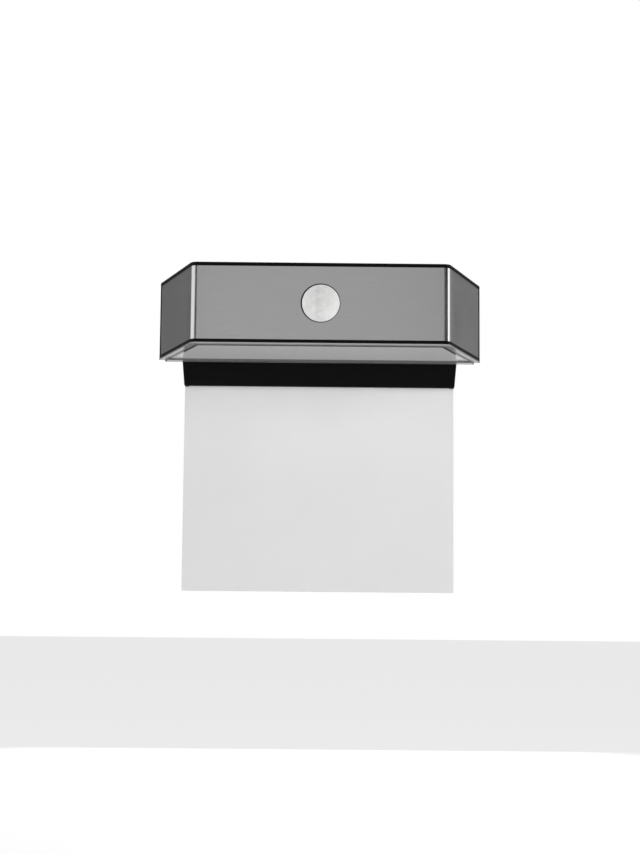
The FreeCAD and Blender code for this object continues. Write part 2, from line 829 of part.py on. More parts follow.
# ---------------------------------------------------------------- battery
def battery_end(side):
    """Left (-1) or right (1) end of the battery."""
    return -battery_offset - (battery_length if side < 0 else 0)


def strap_screw_places():
    reach = battery_radius + strap_thickness + strap_foot / 2
    return [(battery_middle, battery_y + side * reach) for side in (-1, 1)]


def battery():
    """Standard round cell with a raised cap at its right end."""
    can = rod_x(battery_radius, battery_y, battery_z, battery_end(-1), battery_end(1) - battery_cap_height)
    ring = can.makeFillet(battery_edge, [e for e in can.Edges if e.Curve.TypeId == "Part::GeomCircle"])
    cap = rod_x(battery_cap_radius, battery_y, battery_z, battery_end(1) - 2 * battery_cap_height,
                battery_end(1))
    return joined([ring, cap])


def battery_contacts():
    """Upright plates with a dimple that meets the cell, their tops take the leads."""
    def contact(side):
        face = battery_end(side) + side * dimple_height
        back = face + side * contact_thickness
        plate = block(min(face, back), max(face, back), battery_y - contact_width / 2,
                      battery_y + contact_width / 2, deck_top, contact_top)
        dimple = rod_x(dimple_radius, battery_y, battery_z, min(battery_end(side), back),
                       max(battery_end(side), back))
        return joined([plate, dimple])
    return group(both(contact))


def battery_strap():
    """Half ring over the battery with a foot at each side."""
    x_low, x_high = battery_middle - strap_width / 2, battery_middle + strap_width / 2
    inner = battery_radius + touch
    outer = inner + strap_thickness
    reach = battery_radius + strap_thickness + strap_foot
    feet = block(x_low, x_high, battery_y - reach, battery_y + reach, battery_z, battery_z + strap_thickness)
    above = block(x_low, x_high, battery_y - outer, battery_y + outer, battery_z, battery_z + outer)
    arch = rod_x(outer, battery_y, battery_z, x_low, x_high).common(above)
    holes = [rod_z(screw_hole_radius, x, y, battery_z, battery_z + strap_thickness)
             for x, y in strap_screw_places()]
    return joined([arch, feet]).cut([rod_x(inner, battery_y, battery_z, x_low, x_high)] + holes)


# ---------------------------------------------------------------- control board
def control_board():
    board = block(control_offset, control_offset + control_length, control_rear - control_width,
                  control_rear, control_bottom, control_top)
    return board.cut([rod_z(screw_hole_radius, x, y, control_bottom, control_top)
                      for x, y in control_screw_places()])


def on_board(x, y, length, width, height):
    """Block standing on the control board, its middle at a place from the board's left front corner."""
    x, y = x + control_offset, y + control_rear - control_width
    return block(x - length / 2, x + length / 2, y - width / 2, y + width / 2, control_top,
                 control_top + height)


def control_chips():
    """Processor, charger and sensor amplifier."""
    return group([on_board(control_length * 0.72, control_width * 0.34, processor_length, processor_width,
                           chip_height),
                  on_board(control_length * 0.72, control_width * 0.72, charger_length, charger_width,
                           chip_height),
                  on_board(control_length * 0.36, control_width * 0.24, amplifier_length, amplifier_width,
                           chip_height)])


def control_capacitors():
    x = control_offset + control_length * 0.88
    return group([rod_z(capacitor_radius, x, control_rear - control_width * part, control_top,
                        control_top + capacitor_height) for part in (0.34, 0.62)])


def socket_places():
    """Battery, solar, sensor and switch sockets."""
    left = control_offset + socket_length / 2
    return [(left + socket_length, battery_y), solar_lead_place(),
            (left, sensor_lead_y), (left, switch_lead_y)]


def control_sockets():
    shapes = []
    for x, y in socket_places():
        shapes.append(block(x - socket_length / 2, x + socket_length / 2, y - socket_width / 2,
                            y + socket_width / 2, control_top, socket_top))
    return group(shapes)


# ---------------------------------------------------------------- internal leads
def battery_leads():
    """One lead from each contact, over the battery to its socket."""
    x, y = socket_places()[0]
    wires = []
    for side in (-1, 1):
        start = battery_end(side) + side * (dimple_height + contact_thickness / 2)
        shift = side * lead_pitch / 2
        wires.append(lead([V(start, y + shift, contact_top), V(start, y + shift, battery_lead_level),
                           V(x + shift, y + shift, battery_lead_level), V(x + shift, y + shift, socket_top)]))
    return group(wires)


def solar_leads():
    x, y = solar_lead_place()
    return lead_pair([V(x, y, frame_seat), V(x, y, socket_top)], V(1, 0, 0))


def diode_leads():
    x, y = diode_lead_place()
    return lead_pair([V(x, y, deck_bottom), V(x, y, control_bottom)], V(1, 0, 0))


def sensor_leads():
    x, y = socket_places()[2]
    level = sensor_lead_level
    return lead_pair([V(x, sensor_board_back, level), V(x, y, level), V(x, y, socket_top)], V(1, 0, 0))


def switch_leads():
    """Two wires side by side, forward from the switch board and across to their socket."""
    x, y = socket_places()[3]
    start, level = stem_length, switch_lead_level
    wires = []
    for shift in (0, lead_pitch):
        wires.append(lead([V(start + shift, switch_board_front, level), V(start + shift, y + shift, level),
                           V(x + shift, y + shift, level), V(x + shift, y + shift, socket_top)]))
    return group(wires)


# ---------------------------------------------------------------- mode switch
def mode_knob():
    """Sliding cap over the slot in the rear wall, its stem takes the switch's slider."""
    face = head_rear + knob_float
    skirt = prism(rectangle(-knob_length / 2, knob_length / 2, switch_height - knob_height / 2,
                            switch_height + knob_height / 2), [1.0] * 4, face, face + knob_skirt, "xz")
    grip = prism(rectangle(-grip_length / 2, grip_length / 2, switch_height - grip_height / 2,
                           switch_height + grip_height / 2), [0.6] * 4, face + knob_skirt / 2,
                 face + knob_skirt + grip_rise, "xz")
    stem = block(-stem_length / 2, stem_length / 2, cavity_rear - stem_reach, face + knob_skirt / 2,
                 switch_height - stem_height / 2, switch_height + stem_height / 2)
    pocket = block(-slider_length / 2 - touch, slider_length / 2 + touch, cavity_rear - stem_reach,
                   case_back + slider_reach + touch, switch_height - slider_height / 2 - touch,
                   switch_height + slider_height / 2 + touch)
    grooves = [block(x - groove_width / 2, x + groove_width / 2, face + knob_skirt + grip_rise / 2,
                     face + knob_skirt + grip_rise, switch_height - grip_height, switch_height + grip_height)
               for x in row(groove_count, grip_length / (groove_count + 1))]
    return joined([skirt, grip, stem]).cut([pocket] + grooves)


def switch_slider():
    return block(-slider_length / 2, slider_length / 2, case_back - slider_foot, case_back + slider_reach,
                 switch_height - slider_height / 2, switch_height + slider_height / 2)


def switch_case():
    """Case of the slide switch with the slot its slider runs in."""
    case = block(-case_length / 2, case_length / 2, switch_board_back, case_back,
                 switch_height - case_height / 2, switch_height + case_height / 2)
    run = switch_travel + slider_length / 2 + knob_run
    slot = block(-run, run, case_back - slider_foot - knob_run, case_back,
                 switch_height - slider_height / 2 - knob_run, switch_height + slider_height / 2 + knob_run)
    return case.cut(slot)


def switch_board():
    board = block(-switch_board_length / 2, switch_board_length / 2, switch_board_front, switch_board_back,
                  switch_height - switch_board_height / 2, switch_height + switch_board_height / 2)
    return board.cut([rod_y(screw_hole_radius, x, z, switch_board_front, switch_board_back)
                      for x, z in switch_screw_places()])


# ---------------------------------------------------------------- rear box, bar and number panel
def box_half(z):
    """Half the rear box's width at a height, the bar's ends lean in below the head."""
    return box_width / 2 - max(bar_top - z, 0) * box_taper / bar_height


def box_outline(inset, bottom, top):
    wide, low = box_half(top) - inset, box_half(bottom) - inset
    return [(-low, bottom), (low, bottom), (wide, bar_top), (wide, top), (-wide, top), (-wide, bar_top)]


def rear_box():
    """Shallow box open to the wall, its lower front is the bar, with hanger bars inside."""
    outer = prism(box_outline(0, bar_bottom, box_top), [bar_corner, bar_corner, 0, box_corner, box_corner, 0],
                  head_rear, -wall_gap, "xz")
    outer = softened(outer, edge_bevel, "y", head_rear)
    soft = box_corner - box_wall
    inner = prism(box_outline(box_wall, bar_bottom - box_wall, box_top - box_wall), [0, 0, 0, soft, soft, 0],
                  bar_back, 0, "xz")
    stop = block(-stop_rib / 2, stop_rib / 2, bar_back - touch, panel_back, panel_top + shoulder_gap,
                 panel_top + shoulder_gap + hanger_rib)
    bosses = [rod_y(clamp_boss_radius, x, z, bar_back - touch, panel_back) for x, z in clamp_screw_places()]
    solid = joined([outer.cut(inner), stop] + bosses + both(hanger))
    half = knob_length / 2 + switch_travel + knob_run
    window = prism(rectangle(-half, half, switch_height - knob_height / 2 - knob_run,
                             switch_height + knob_height / 2 + knob_run), [1.2] * 4, head_rear, bar_back, "xz")
    pilots = [rod_y(pilot_radius, x, z, head_rear + boss_floor, panel_back) for x, z in clamp_screw_places()]
    holes = [rod_y(screw_hole_radius, x, z, head_rear, bar_back) for x, z in rear_screw_places()]
    return solid.cut([window] + pilots + holes)


def hanger(side):
    """Level bar between two ribs, it rests in a hook of the bracket."""
    middle, half = side * hook_x, hook_width / 2 + hanger_side_gap + hanger_rib
    top = hanger_bottom + hanger_height
    bar = block(middle - half, middle + half, hanger_front, hanger_back, hanger_bottom, top)
    ribs = [block(middle + x - hanger_rib / 2, middle + x + hanger_rib / 2, bar_back - touch, hanger_back,
                  hanger_bottom, top) for x in (hanger_rib / 2 - half, half - hanger_rib / 2)]
    return joined([bar] + ribs)


def number_panel():
    """Opal plate with a narrower tongue that slides up behind the bar."""
    shoulder = bar_bottom - shoulder_gap
    half = panel_width / 2
    tongue = box_half(bar_bottom) - box_wall - tongue_fit
    corners = [(-half, panel_bottom), (half, panel_bottom), (half, shoulder), (tongue, shoulder),
               (tongue, panel_top), (-tongue, panel_top), (-tongue, shoulder), (-half, shoulder)]
    soft = panel_corner
    plate = prism(corners, [soft, soft, soft, 0, soft, soft, 0, soft], panel_front, panel_back, "xz")
    plate = softened(plate, edge_bevel, "y", panel_front)
    return plate.cut([rod_y(clamp_boss_radius + fit, x, z, panel_front, panel_back)
                      for x, z in clamp_screw_places()])


def panel_clamp():
    """Strip that holds the panel's tongue against the bar, with a foot that closes the box below."""
    half = box_half(bar_bottom) - box_wall - tongue_fit
    strip = block(-half, half, clamp_front, clamp_back, bar_bottom, bar_bottom + clamp_height)
    foot = block(-half, half, clamp_back - touch, clamp_back + clamp_foot_reach, bar_bottom,
                 bar_bottom + clamp_foot)
    return joined([strip, foot]).cut([rod_y(screw_hole_radius, x, z, clamp_front, clamp_back)
                                      for x, z in clamp_screw_places()])


# ---------------------------------------------------------------- wall bracket
def wall_bracket():
    """Steel plate for two wall screws, with two hooks lanced and folded out of it."""
    plate = prism(rectangle(-bracket_width / 2, bracket_width / 2, -bracket_height / 2, bracket_height / 2),
                  [bracket_corner] * 4, -bracket_thickness, 0, "xz")
    holes = [rod_y(bracket_hole_radius, side * bracket_hole_spacing / 2, 0, -bracket_thickness, 0)
             for side in (-1, 1)]
    blanks = [block(side * hook_x - hook_width / 2 - lance_gap, side * hook_x + hook_width / 2 + lance_gap,
                    -bracket_thickness, 0, hook_seat, lance_top) for side in (-1, 1)]
    return joined([plate.cut(holes + blanks)] + both(bracket_hook))


def bracket_hook(side):
    near, far = -hook_depth, -hook_depth - bracket_thickness
    low, high = hook_seat - bracket_thickness, hook_seat + hook_rise
    corners = [(0, low), (far, low), (far, high), (near, high), (near, hook_seat), (0, hook_seat)]
    radii = [0, bracket_thickness + hook_bend, 0.4, 0.4, hook_bend, 0]
    return prism(corners, radii, side * hook_x - hook_width / 2, side * hook_x + hook_width / 2, "yz")


# ---------------------------------------------------------------- screws
def screws(length, points, axis):
    return group([screw(length, point, axis) for point in points])


def frame_screws():
    seat = pillar_top - pillar_roof
    return screws(frame_screw_length, [V(x, y, seat) for x, y in pillar_places()], V(0, 0, 1))


def rear_screws():
    return screws(rear_screw_length, [V(x, bar_back, z) for x, z in rear_screw_places()], V(0, -1, 0))


def light_screws():
    seat = reflector_top - reflector_wall
    return screws(light_screw_length, [V(x, y, seat) for x, y in light_screw_places()], V(0, 0, 1))


def board_screws():
    """The four screws of the control board and the two of the battery strap."""
    points = [V(x, y, control_top) for x, y in control_screw_places()]
    points += [V(x, y, battery_z + strap_thickness) for x, y in strap_screw_places()]
    return screws(board_screw_length, points, V(0, 0, -1))


def sensor_screws():
    points = [V(x, sensor_board_back, z) for x, z in sensor_screw_places()]
    return screws(board_screw_length, points, V(0, -1, 0))


def switch_screws():
    points = [V(x, switch_board_front, z) for x, z in switch_screw_places()]
    return screws(board_screw_length, points, V(0, 1, 0))


def clamp_screws():
    points = [V(x, clamp_back, z) for x, z in clamp_screw_places()]
    return screws(clamp_screw_length, points, V(0, -1, 0))


# ---------------------------------------------------------------- build
PARTS = [steel_band, housing, top_seal, bottom_seal, solar_frame, solar_glass, solar_backing, solar_cells,
         diffuser, diffuser_trim, reflector, led_board, diodes, sensor_lens, lens_seal, lens_retainer,
         motion_sensor, sensor_board, battery, battery_contacts, battery_strap, control_board,
         control_chips, control_capacitors, control_sockets, battery_leads, solar_leads, diode_leads,
         sensor_leads, switch_leads, mode_knob, switch_slider, switch_case, switch_board, rear_box,
         number_panel, panel_clamp, wall_bracket, frame_screws, rear_screws, light_screws, board_screws,
         sensor_screws, switch_screws, clamp_screws]

os.makedirs("parts", exist_ok=True)
for make in PARTS:
    make().exportStep("parts/" + make.__name__ + ".step")
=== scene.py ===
import json
import math

import bpy
import numpy as np
from bpy.props import FloatProperty, FloatVectorProperty, IntProperty, PointerProperty
from mathutils import Matrix, Vector


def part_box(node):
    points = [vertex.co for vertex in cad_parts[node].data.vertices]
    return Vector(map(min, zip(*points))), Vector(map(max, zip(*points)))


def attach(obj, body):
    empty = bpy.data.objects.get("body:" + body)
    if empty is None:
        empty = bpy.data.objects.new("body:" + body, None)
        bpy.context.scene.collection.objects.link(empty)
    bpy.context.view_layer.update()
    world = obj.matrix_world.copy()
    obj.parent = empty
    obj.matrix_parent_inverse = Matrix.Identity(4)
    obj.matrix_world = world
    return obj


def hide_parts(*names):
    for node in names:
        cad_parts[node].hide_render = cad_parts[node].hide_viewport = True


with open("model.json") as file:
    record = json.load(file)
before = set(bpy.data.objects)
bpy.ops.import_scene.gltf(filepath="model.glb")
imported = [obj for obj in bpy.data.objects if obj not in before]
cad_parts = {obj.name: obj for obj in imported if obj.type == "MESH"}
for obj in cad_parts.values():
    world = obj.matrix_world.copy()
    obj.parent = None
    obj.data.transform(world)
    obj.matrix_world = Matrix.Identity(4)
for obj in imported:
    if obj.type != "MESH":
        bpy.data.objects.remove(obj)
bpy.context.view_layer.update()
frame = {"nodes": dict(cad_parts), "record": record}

bl_info = {
    "name": "Solar fence light",
    "version": (1, 0, 0),
    "blender": (4, 5, 0),
    "location": "View3D > Sidebar > Fence light",
    "description": "Dresses the fence light: steel wrap, sensor dome, opal panel, solar module and finishes",
    "category": "Object",
}

MM = 0.001


def box_mm(node):
    """Lowest and highest corner of a CAD node at rest, in mm."""
    low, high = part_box(node)
    return np.array(low) / MM, np.array(high) / MM


HEAD_LOW, HEAD_HIGH = box_mm("housing")
BAND_LOW, BAND_HIGH = box_mm("steel_band")
LENS_LOW, LENS_HIGH = box_mm("sensor_lens")
PANEL_LOW, PANEL_HIGH = box_mm("number_panel")
CLAMP_HIGH = box_mm("panel_clamp")[1]
BOX_LOW = box_mm("rear_box")[0]
GLASS_LOW, GLASS_HIGH = box_mm("solar_glass")
CELLS_LOW, CELLS_HIGH = box_mm("solar_cells")
KNOB_LOW, KNOB_HIGH = box_mm("mode_knob")
BATTERY_LOW, BATTERY_HIGH = box_mm("battery")
TRIM_HIGH = box_mm("diffuser_trim")[1]
PLATE_HIGH = box_mm("diffuser")[1]


# ---------------------------------------------------------------- sizes and colours
def millimetres(label, about, default):
    return FloatProperty(name=label, description=about + ", mm", default=default)


def shade(label, about, default):
    return FloatVectorProperty(name=label, description=about, subtype="COLOR", default=default)


class FenceLightSizes(bpy.types.PropertyGroup):
    """Sizes of the pieces made here, in millimetres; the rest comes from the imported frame."""
    front_width: millimetres("Front width", "Width of the head's front", 150.8)
    rear_width: millimetres("Rear width", "Width of the head at the rear box", 200.0)
    sheet: millimetres("Sheet", "Thickness of the steel wrap", 0.8)
    setback: millimetres("Setback", "Steel behind the black rims", 0.3)
    fold: millimetres("Fold radius", "Outside radius of the two folds", 4.5)
    top_gap: millimetres("Top gap", "Steel ends this far below the upper rim", 0.2)
    rear_gap: millimetres("Rear gap", "Black rear edge left bare behind the steel", 1.8)
    relax: millimetres("Spring-back run", "Side length next to a fold that stays a little curved", 10.0)
    relax_turn: FloatProperty(name="Spring-back turn", description="How far the sheet turns along that run",
                              default=math.radians(3.0), subtype="ANGLE")
    window: millimetres("Window radius", "Round hole for the sensor dome", 11.6)
    dome: millimetres("Dome radius", "Radius of the sensor dome at its skirt", 11.0)
    dome_shift: FloatVectorProperty(name="Dome shift", description="Where the dome sits in its window, mm",
                                    size=2, default=(0.2, -0.2))
    bulge: millimetres("Dome bulge", "Dome in front of the steel", 2.6)
    lens_wall: millimetres("Lens wall", "Wall of the dome and its skirt", 0.9)
    lens_flange: millimetres("Lens flange", "Thickness of the flange behind the wall", 1.2)
    facets: IntProperty(name="Facets", description="Shallow lenses round the middle one", default=6, min=3)
    facet_rise: millimetres("Facet rise", "Facet above the dome", 0.35)
    facet_radius: millimetres("Facet radius", "Radius of a facet's own curve", 9.0)
    facet_ring: millimetres("Facet ring", "Dome's axis to the axis of a facet", 6.6)
    panel_edge: millimetres("Panel edge", "Rounding on the number panel's edges", 0.4)
    tongue_fit: millimetres("Tongue fit", "Shoulders of the panel below the bar", 0.3)
    knob_corner: millimetres("Knob corner", "Rounding on the mode knob's corners", 1.0)
    thread_pitch: millimetres("Thread pitch", "Pitch of the screws", 1.0)
    thread_depth: millimetres("Thread depth", "Crest to root of the screws", 0.32)
    shank: millimetres("Shank", "Radius of the screws over their thread", 1.4)
    crown: millimetres("Crown", "Height of the screws' heads", 1.7)


class FenceLightColours(bpy.types.PropertyGroup):
    """Colours of the visible finishes."""
    moulding: shade("Mouldings", "Black plastic", (0.0034, 0.0034, 0.0036))
    panel: shade("Number panel", "Opal acrylic", (0.78, 0.78, 0.78))
    diffuser: shade("Diffuser", "Opal plate under the head", (0.92, 0.92, 0.92))
    backed: shade("Backed diffuser", "Opal plate where the black lip lies behind it", (0.36, 0.36, 0.36))
    trim: shade("Trim", "Thin frame under the diffuser", (0.13, 0.13, 0.13))
    rear_strip: shade("Rear strip", "Dark strip between diffuser and bar", (0.34, 0.34, 0.34))
    lens: shade("Sensor dome", "Milky lens plastic", (0.76, 0.76, 0.755))
    steel: FloatProperty(name="Steel", description="Brightness of the brushed steel", default=0.56)


def sizes():
    return bpy.context.scene.fence_light_sizes


def colours():
    return bpy.context.scene.fence_light_colours


# ---------------------------------------------------------------- surfaces
def skin(name, points, faces, smooth_below=40):
    """A piece from points in mm and rows of face corners. Edges steeper than the given angle stay sharp."""
    mesh = bpy.data.meshes.new(name)
    rows = [row.tolist() if hasattr(row, "tolist") else list(row) for row in faces]
    mesh.from_pydata((np.asarray(points, float).reshape(-1, 3) * MM).tolist(), [], rows)
    mesh.polygons.foreach_set("use_smooth", [True] * len(mesh.polygons))
    mesh.update()
    count = len(mesh.polygons)
    normals, totals, edges = np.empty(count * 3), np.empty(count, int), np.empty(len(mesh.loops), int)
    mesh.polygons.foreach_get("normal", normals)
    mesh.polygons.foreach_get("loop_total", totals)
    mesh.loops.foreach_get("edge_index", edges)
    order = np.argsort(edges, kind="stable")
    edge, face = edges[order], np.repeat(np.arange(count), totals)[order]
    pair = np.nonzero(edge[1:] == edge[:-1])[0]
    normals = normals.reshape(-1, 3)
    steep = (normals[face[pair]] * normals[face[pair + 1]]).sum(1) < math.cos(math.radians(smooth_below))
    sharp = np.zeros(len(mesh.edges), bool)
    sharp[edge[pair[steep]]] = True
    mesh.attributes.new("sharp_edge", "BOOLEAN", "EDGE").data.foreach_set("value", sharp)
    piece = bpy.data.objects.new(name, mesh)
    bpy.context.collection.objects.link(piece)
    return piece


def quads(rows, columns, close_rows=False, close_columns=False):
    """Quads of a grid of points: (i, j), (i, j+1), (i+1, j+1), (i+1, j), carried on round where closed."""
    i, j = np.meshgrid(np.arange(rows if close_rows else rows - 1),
                       np.arange(columns if close_columns else columns - 1), indexing="ij")
    up, along = (i + 1) % rows, (j + 1) % columns
    near, far = i * columns, up * columns
    return np.stack([near + j, near + along, far + along, far + j], -1).reshape(-1, 4)


def welded(points, faces):
    """Points within a ten-thousandth of a mm become one, and faces drop the corners that fall together."""
    points = np.asarray(points, float).reshape(-1, 3)
    cells = np.round(points * 10000).astype(np.int64)
    _, first, place = np.unique(cells, axis=0, return_index=True, return_inverse=True)
    kept = [list(dict.fromkeys(face)) for face in place.reshape(-1)[np.asarray(faces)].tolist()]
    return points[first], [face for face in kept if len(face) > 2]


def merged(parts):
    """Several (points, faces) as one, the faces counted on."""
    points = [np.asarray(some, float).reshape(-1, 3) for some, _ in parts]
    starts = np.cumsum([0] + [len(some) for some in points])
    return np.concatenate(points), np.concatenate([faces + start for (_, faces), start in zip(parts, starts)])


def repeated(points, faces, offsets):
    """The same closed form at several places: points plus each offset, faces counted on."""
    points, offsets = np.asarray(points, float).reshape(-1, 3), np.asarray(offsets, float)
    moved = (points[None] + offsets[:, None]).reshape(-1, 3)
    rows = [[corner + k * len(points) for corner in row] for k in range(len(offsets)) for row in faces]
    return moved, rows


def arc_loop(corners, radii, steps=8):
    """Closed outline in a plane with an arc at each corner, turned evenly from tangent to tangent.

    With unit vectors b and a towards the last and the next corner, the arc's centre lies along b + a at
    radius / sin(half the corner's angle), and a point of the arc is the spherical blend of its two ends.
    """
    here = np.asarray(corners, float)
    back, ahead = np.roll(here, 1, 0) - here, np.roll(here, -1, 0) - here
    back /= np.linalg.norm(back, axis=1)[:, None]
    ahead /= np.linalg.norm(ahead, axis=1)[:, None]
    half = np.arccos(np.clip((back * ahead).sum(1), -1, 1)) / 2
    radius = np.maximum(np.asarray(radii, float), 1e-3)
    inwards = (back + ahead) / np.linalg.norm(back + ahead, axis=1)[:, None]
    centre = here + inwards * (radius / np.sin(half))[:, None]
    start = here + back * (radius / np.tan(half))[:, None] - centre
    end = here + ahead * (radius / np.tan(half))[:, None] - centre
    sweep, t = (np.pi - 2 * half)[:, None, None], np.linspace(0, 1, steps)[None, :, None]
    arc = (start[:, None] * np.sin((1 - t) * sweep) + end[:, None] * np.sin(t * sweep)) / np.sin(sweep)
    return (centre[:, None] + arc).reshape(-1, 2)


def plate_edge(low, high, round_off, steps=4):
    """Inset and height along a plate's edge: a quarter circle from the lower face, one to the upper face."""
    t = np.linspace(0, np.pi / 2, steps)
    inset = np.concatenate([round_off * (1 - np.sin(t)), round_off * (1 - np.cos(t))])
    height = np.concatenate([low + round_off * (1 - np.cos(t)), high - round_off * (1 - np.sin(t))])
    return inset, height


def stack(rings, turn=False):
    """Rings of equal count joined one to the next, with a flat face at each end."""
    rows, columns = len(rings), len(rings[0])
    faces = quads(rows, columns, close_columns=True).tolist()
    faces += [list(range(columns))[::-1], [(rows - 1) * columns + k for k in range(columns)]]
    return np.concatenate(rings), [face[::-1] for face in faces] if turn else faces


def turned(profile, spokes):
    """Surface of revolution about the first axis: each (along, r) of the profile sweeps a circle of radius r.

    The profile starts and ends on the axis, so its poles close.
    """
    along, radius = np.asarray(profile, float).T
    angle = np.linspace(0, 2 * np.pi, spokes, endpoint=False)
    points = np.stack([np.broadcast_to(along[:, None], (len(along), spokes)), radius[:, None] * np.cos(angle),
                       radius[:, None] * np.sin(angle)], -1)
    return welded(points, quads(len(along), spokes, close_columns=True))


def head_half_width(depth):
    """Half the head's width at a depth: a straight side from the narrow front to the wide rear."""
    share = (depth - HEAD_LOW[1]) / (HEAD_HIGH[1] - HEAD_LOW[1])
    return (sizes().front_width + (sizes().rear_width - sizes().front_width) * share) / 2


def head_loop(inset, corner=0.6):
    """The head's outline from above, drawn in all round by inset, its front corners following the folds."""
    run = (sizes().rear_width - sizes().front_width) / 2
    slant = inset * math.hypot(run, HEAD_HIGH[1] - HEAD_LOW[1]) / (HEAD_HIGH[1] - HEAD_LOW[1])
    front, rear = HEAD_LOW[1] + inset, HEAD_HIGH[1] - inset
    near, far = head_half_width(front) - slant, head_half_width(rear) - slant
    soft = max(sizes().fold + sizes().setback - inset, corner)
    return arc_loop([(-far, rear), (-near, front), (near, front), (far, rear)], [corner, soft, soft, corner])


def head_plate(inset, low, high, round_off):
    """Flat plate with the head's outline, drawn in by the edge's inset at each of its heights."""
    rings = []
    for extra, height in zip(*plate_edge(low, high, round_off)):
        loop = head_loop(inset + extra)
        rings.append(np.column_stack([loop, np.full(len(loop), height)]))
    return stack(rings)


def separate_boxes(node, gap=0.2):
    """Boxes of a CAD node's separate solids.

    Its triangles are sorted along x, y and z in turn, and parted wherever the next one starts past the
    end of all before it.
    """
    mesh = frame["nodes"][node].data
    points, corners = np.empty(len(mesh.vertices) * 3), np.empty(len(mesh.loops), int)
    mesh.vertices.foreach_get("co", points)
    mesh.loops.foreach_get("vertex_index", corners)
    groups = [points.reshape(-1, 3)[corners].reshape(-1, 3, 3) / MM]
    for axis in (0, 1, 2, 0, 1):
        parted = []
        for group in groups:
            group = group[np.argsort(group[:, :, axis].min(1))]
            reach = np.maximum.accumulate(group[:, :, axis].max(1))
            parted += np.split(group, np.nonzero(group[1:, :, axis].min(1) > reach[:-1] + gap)[0] + 1)
        groups = parted
    return [(group.min((0, 1)), group.max((0, 1))) for group in groups]


# ---------------------------------------------------------------- steel wrap
def wrap_path():
    """Half of the wrap's plan from the start of the fold to the rear end, as arc length, x and depth in mm.

    The heading is the integral of the curvature: a flat-topped hump over the fold, then a straight ramp
    down to nothing over the spring-back run. The length of the flat front is what the rest leaves.
    """
    size = sizes()
    run, depth = (size.rear_width - size.front_width) / 2, HEAD_HIGH[1] - HEAD_LOW[1]
    full = math.pi / 2 - math.atan2(run, depth)
    bent = size.fold * full
    s = np.concatenate([np.linspace(0, bent, 80), bent + np.linspace(0, size.relax, 30)[1:]])
    hump = np.where(s <= bent, 1 - np.abs(2 * s / bent - 1) ** 6, 0)
    ramp = np.where(s > bent, 1 - (s - bent) / size.relax, 0)

    def area(curve):
        return np.concatenate([[0], np.cumsum((curve[1:] + curve[:-1]) / 2 * np.diff(s))])

    heading = (full - size.relax_turn) * area(hump) / area(hump)[-1]
    heading += size.relax_turn * area(ramp) / area(ramp)[-1]
    middle = (heading[1:] + heading[:-1]) / 2
    x = np.concatenate([[0], np.cumsum(np.cos(middle) * np.diff(s))])
    y = np.concatenate([[0], np.cumsum(np.sin(middle) * np.diff(s))]) + HEAD_LOW[1] + size.setback
    front = BAND_HIGH[0] - x[-1] - (BAND_HIGH[1] - y[-1]) / math.tan(full)
    rest = np.linspace(0, (BAND_HIGH[1] - size.rear_gap - y[-1]) / math.sin(full), 16)[1:]
    x, y = np.append(x, x[-1] + rest * math.cos(full)), np.append(y, y[-1] + rest * math.sin(full))
    s = np.append(s, s[-1] + rest)
    return s + front, x + front, y


def steel_wrap():
    """Folded wrap: a flat sheet of length s and height z with a round window, carried along the plan path.

    Round the window the sheet is a grid from the circle out to a square, circle + t (square - circle); beyond
    the square it is a grid of s and z. Every point is then placed by looking its s up along the path.
    """
    size = sizes()
    s_path, x_path, y_path = wrap_path()
    top = BAND_HIGH[2] - size.top_gap
    half, level = (top - BAND_LOW[2]) / 2, (top + BAND_LOW[2]) / 2
    count = 24
    step = np.linspace(-half, half, count + 1)
    side, edge = step[:-1], np.full(count, half)
    square = np.concatenate([np.column_stack([side, -edge]), np.column_stack([edge, side]),
                             np.column_stack([-side, edge]), np.column_stack([-edge, -side])])
    circle = size.window * square / np.linalg.norm(square, axis=1)[:, None]
    ring = circle + np.linspace(0, 1, 9)[:, None, None] * (square - circle)
    s = np.concatenate([np.linspace(half, s_path[0], 12)[:-1], s_path])
    right = np.stack(np.meshgrid(s, step, indexing="ij"), -1)
    left = np.stack(np.meshgrid(-s, step, indexing="ij"), -1)
    cells = quads(len(s), count + 1)
    flat = np.concatenate([ring.reshape(-1, 2), right.reshape(-1, 2), left.reshape(-1, 2)])
    faces = np.concatenate([quads(9, 4 * count, close_columns=True)[:, ::-1], cells[:, ::-1] + 36 * count,
                            cells + 36 * count + right.size // 2])
    along = np.abs(flat[:, 0])
    x = np.interp(along, np.append(0, s_path), np.append(0, x_path)) * np.sign(flat[:, 0])
    y = np.interp(along, np.append(0, s_path), np.append(y_path[0], y_path))
    points, rows = welded(np.column_stack([x, y, flat[:, 1] + level]), faces)
    piece = skin("steel_wrap", points, rows, 180)
    unrolled = np.interp(np.abs(points[:, 0]), np.append(0, x_path), np.append(0, s_path))
    unrolled *= np.sign(points[:, 0])
    corner = np.empty(len(piece.data.loops), int)
    piece.data.loops.foreach_get("vertex_index", corner)
    layer = piece.data.uv_layers.new(name="sheet")
    layer.data.foreach_set("uv", (np.column_stack([unrolled, points[:, 2]])[corner] * MM).ravel())
    wall = piece.modifiers.new("Sheet", "SOLIDIFY")
    wall.thickness, wall.offset, wall.use_even_offset = size.sheet * MM, -1.0, True
    edge = piece.modifiers.new("Broken edges", "BEVEL")
    edge.width, edge.segments, edge.limit_method, edge.angle_limit = 0.1 * MM, 2, "ANGLE", math.radians(50)
    edge.harden_normals = True
    return piece


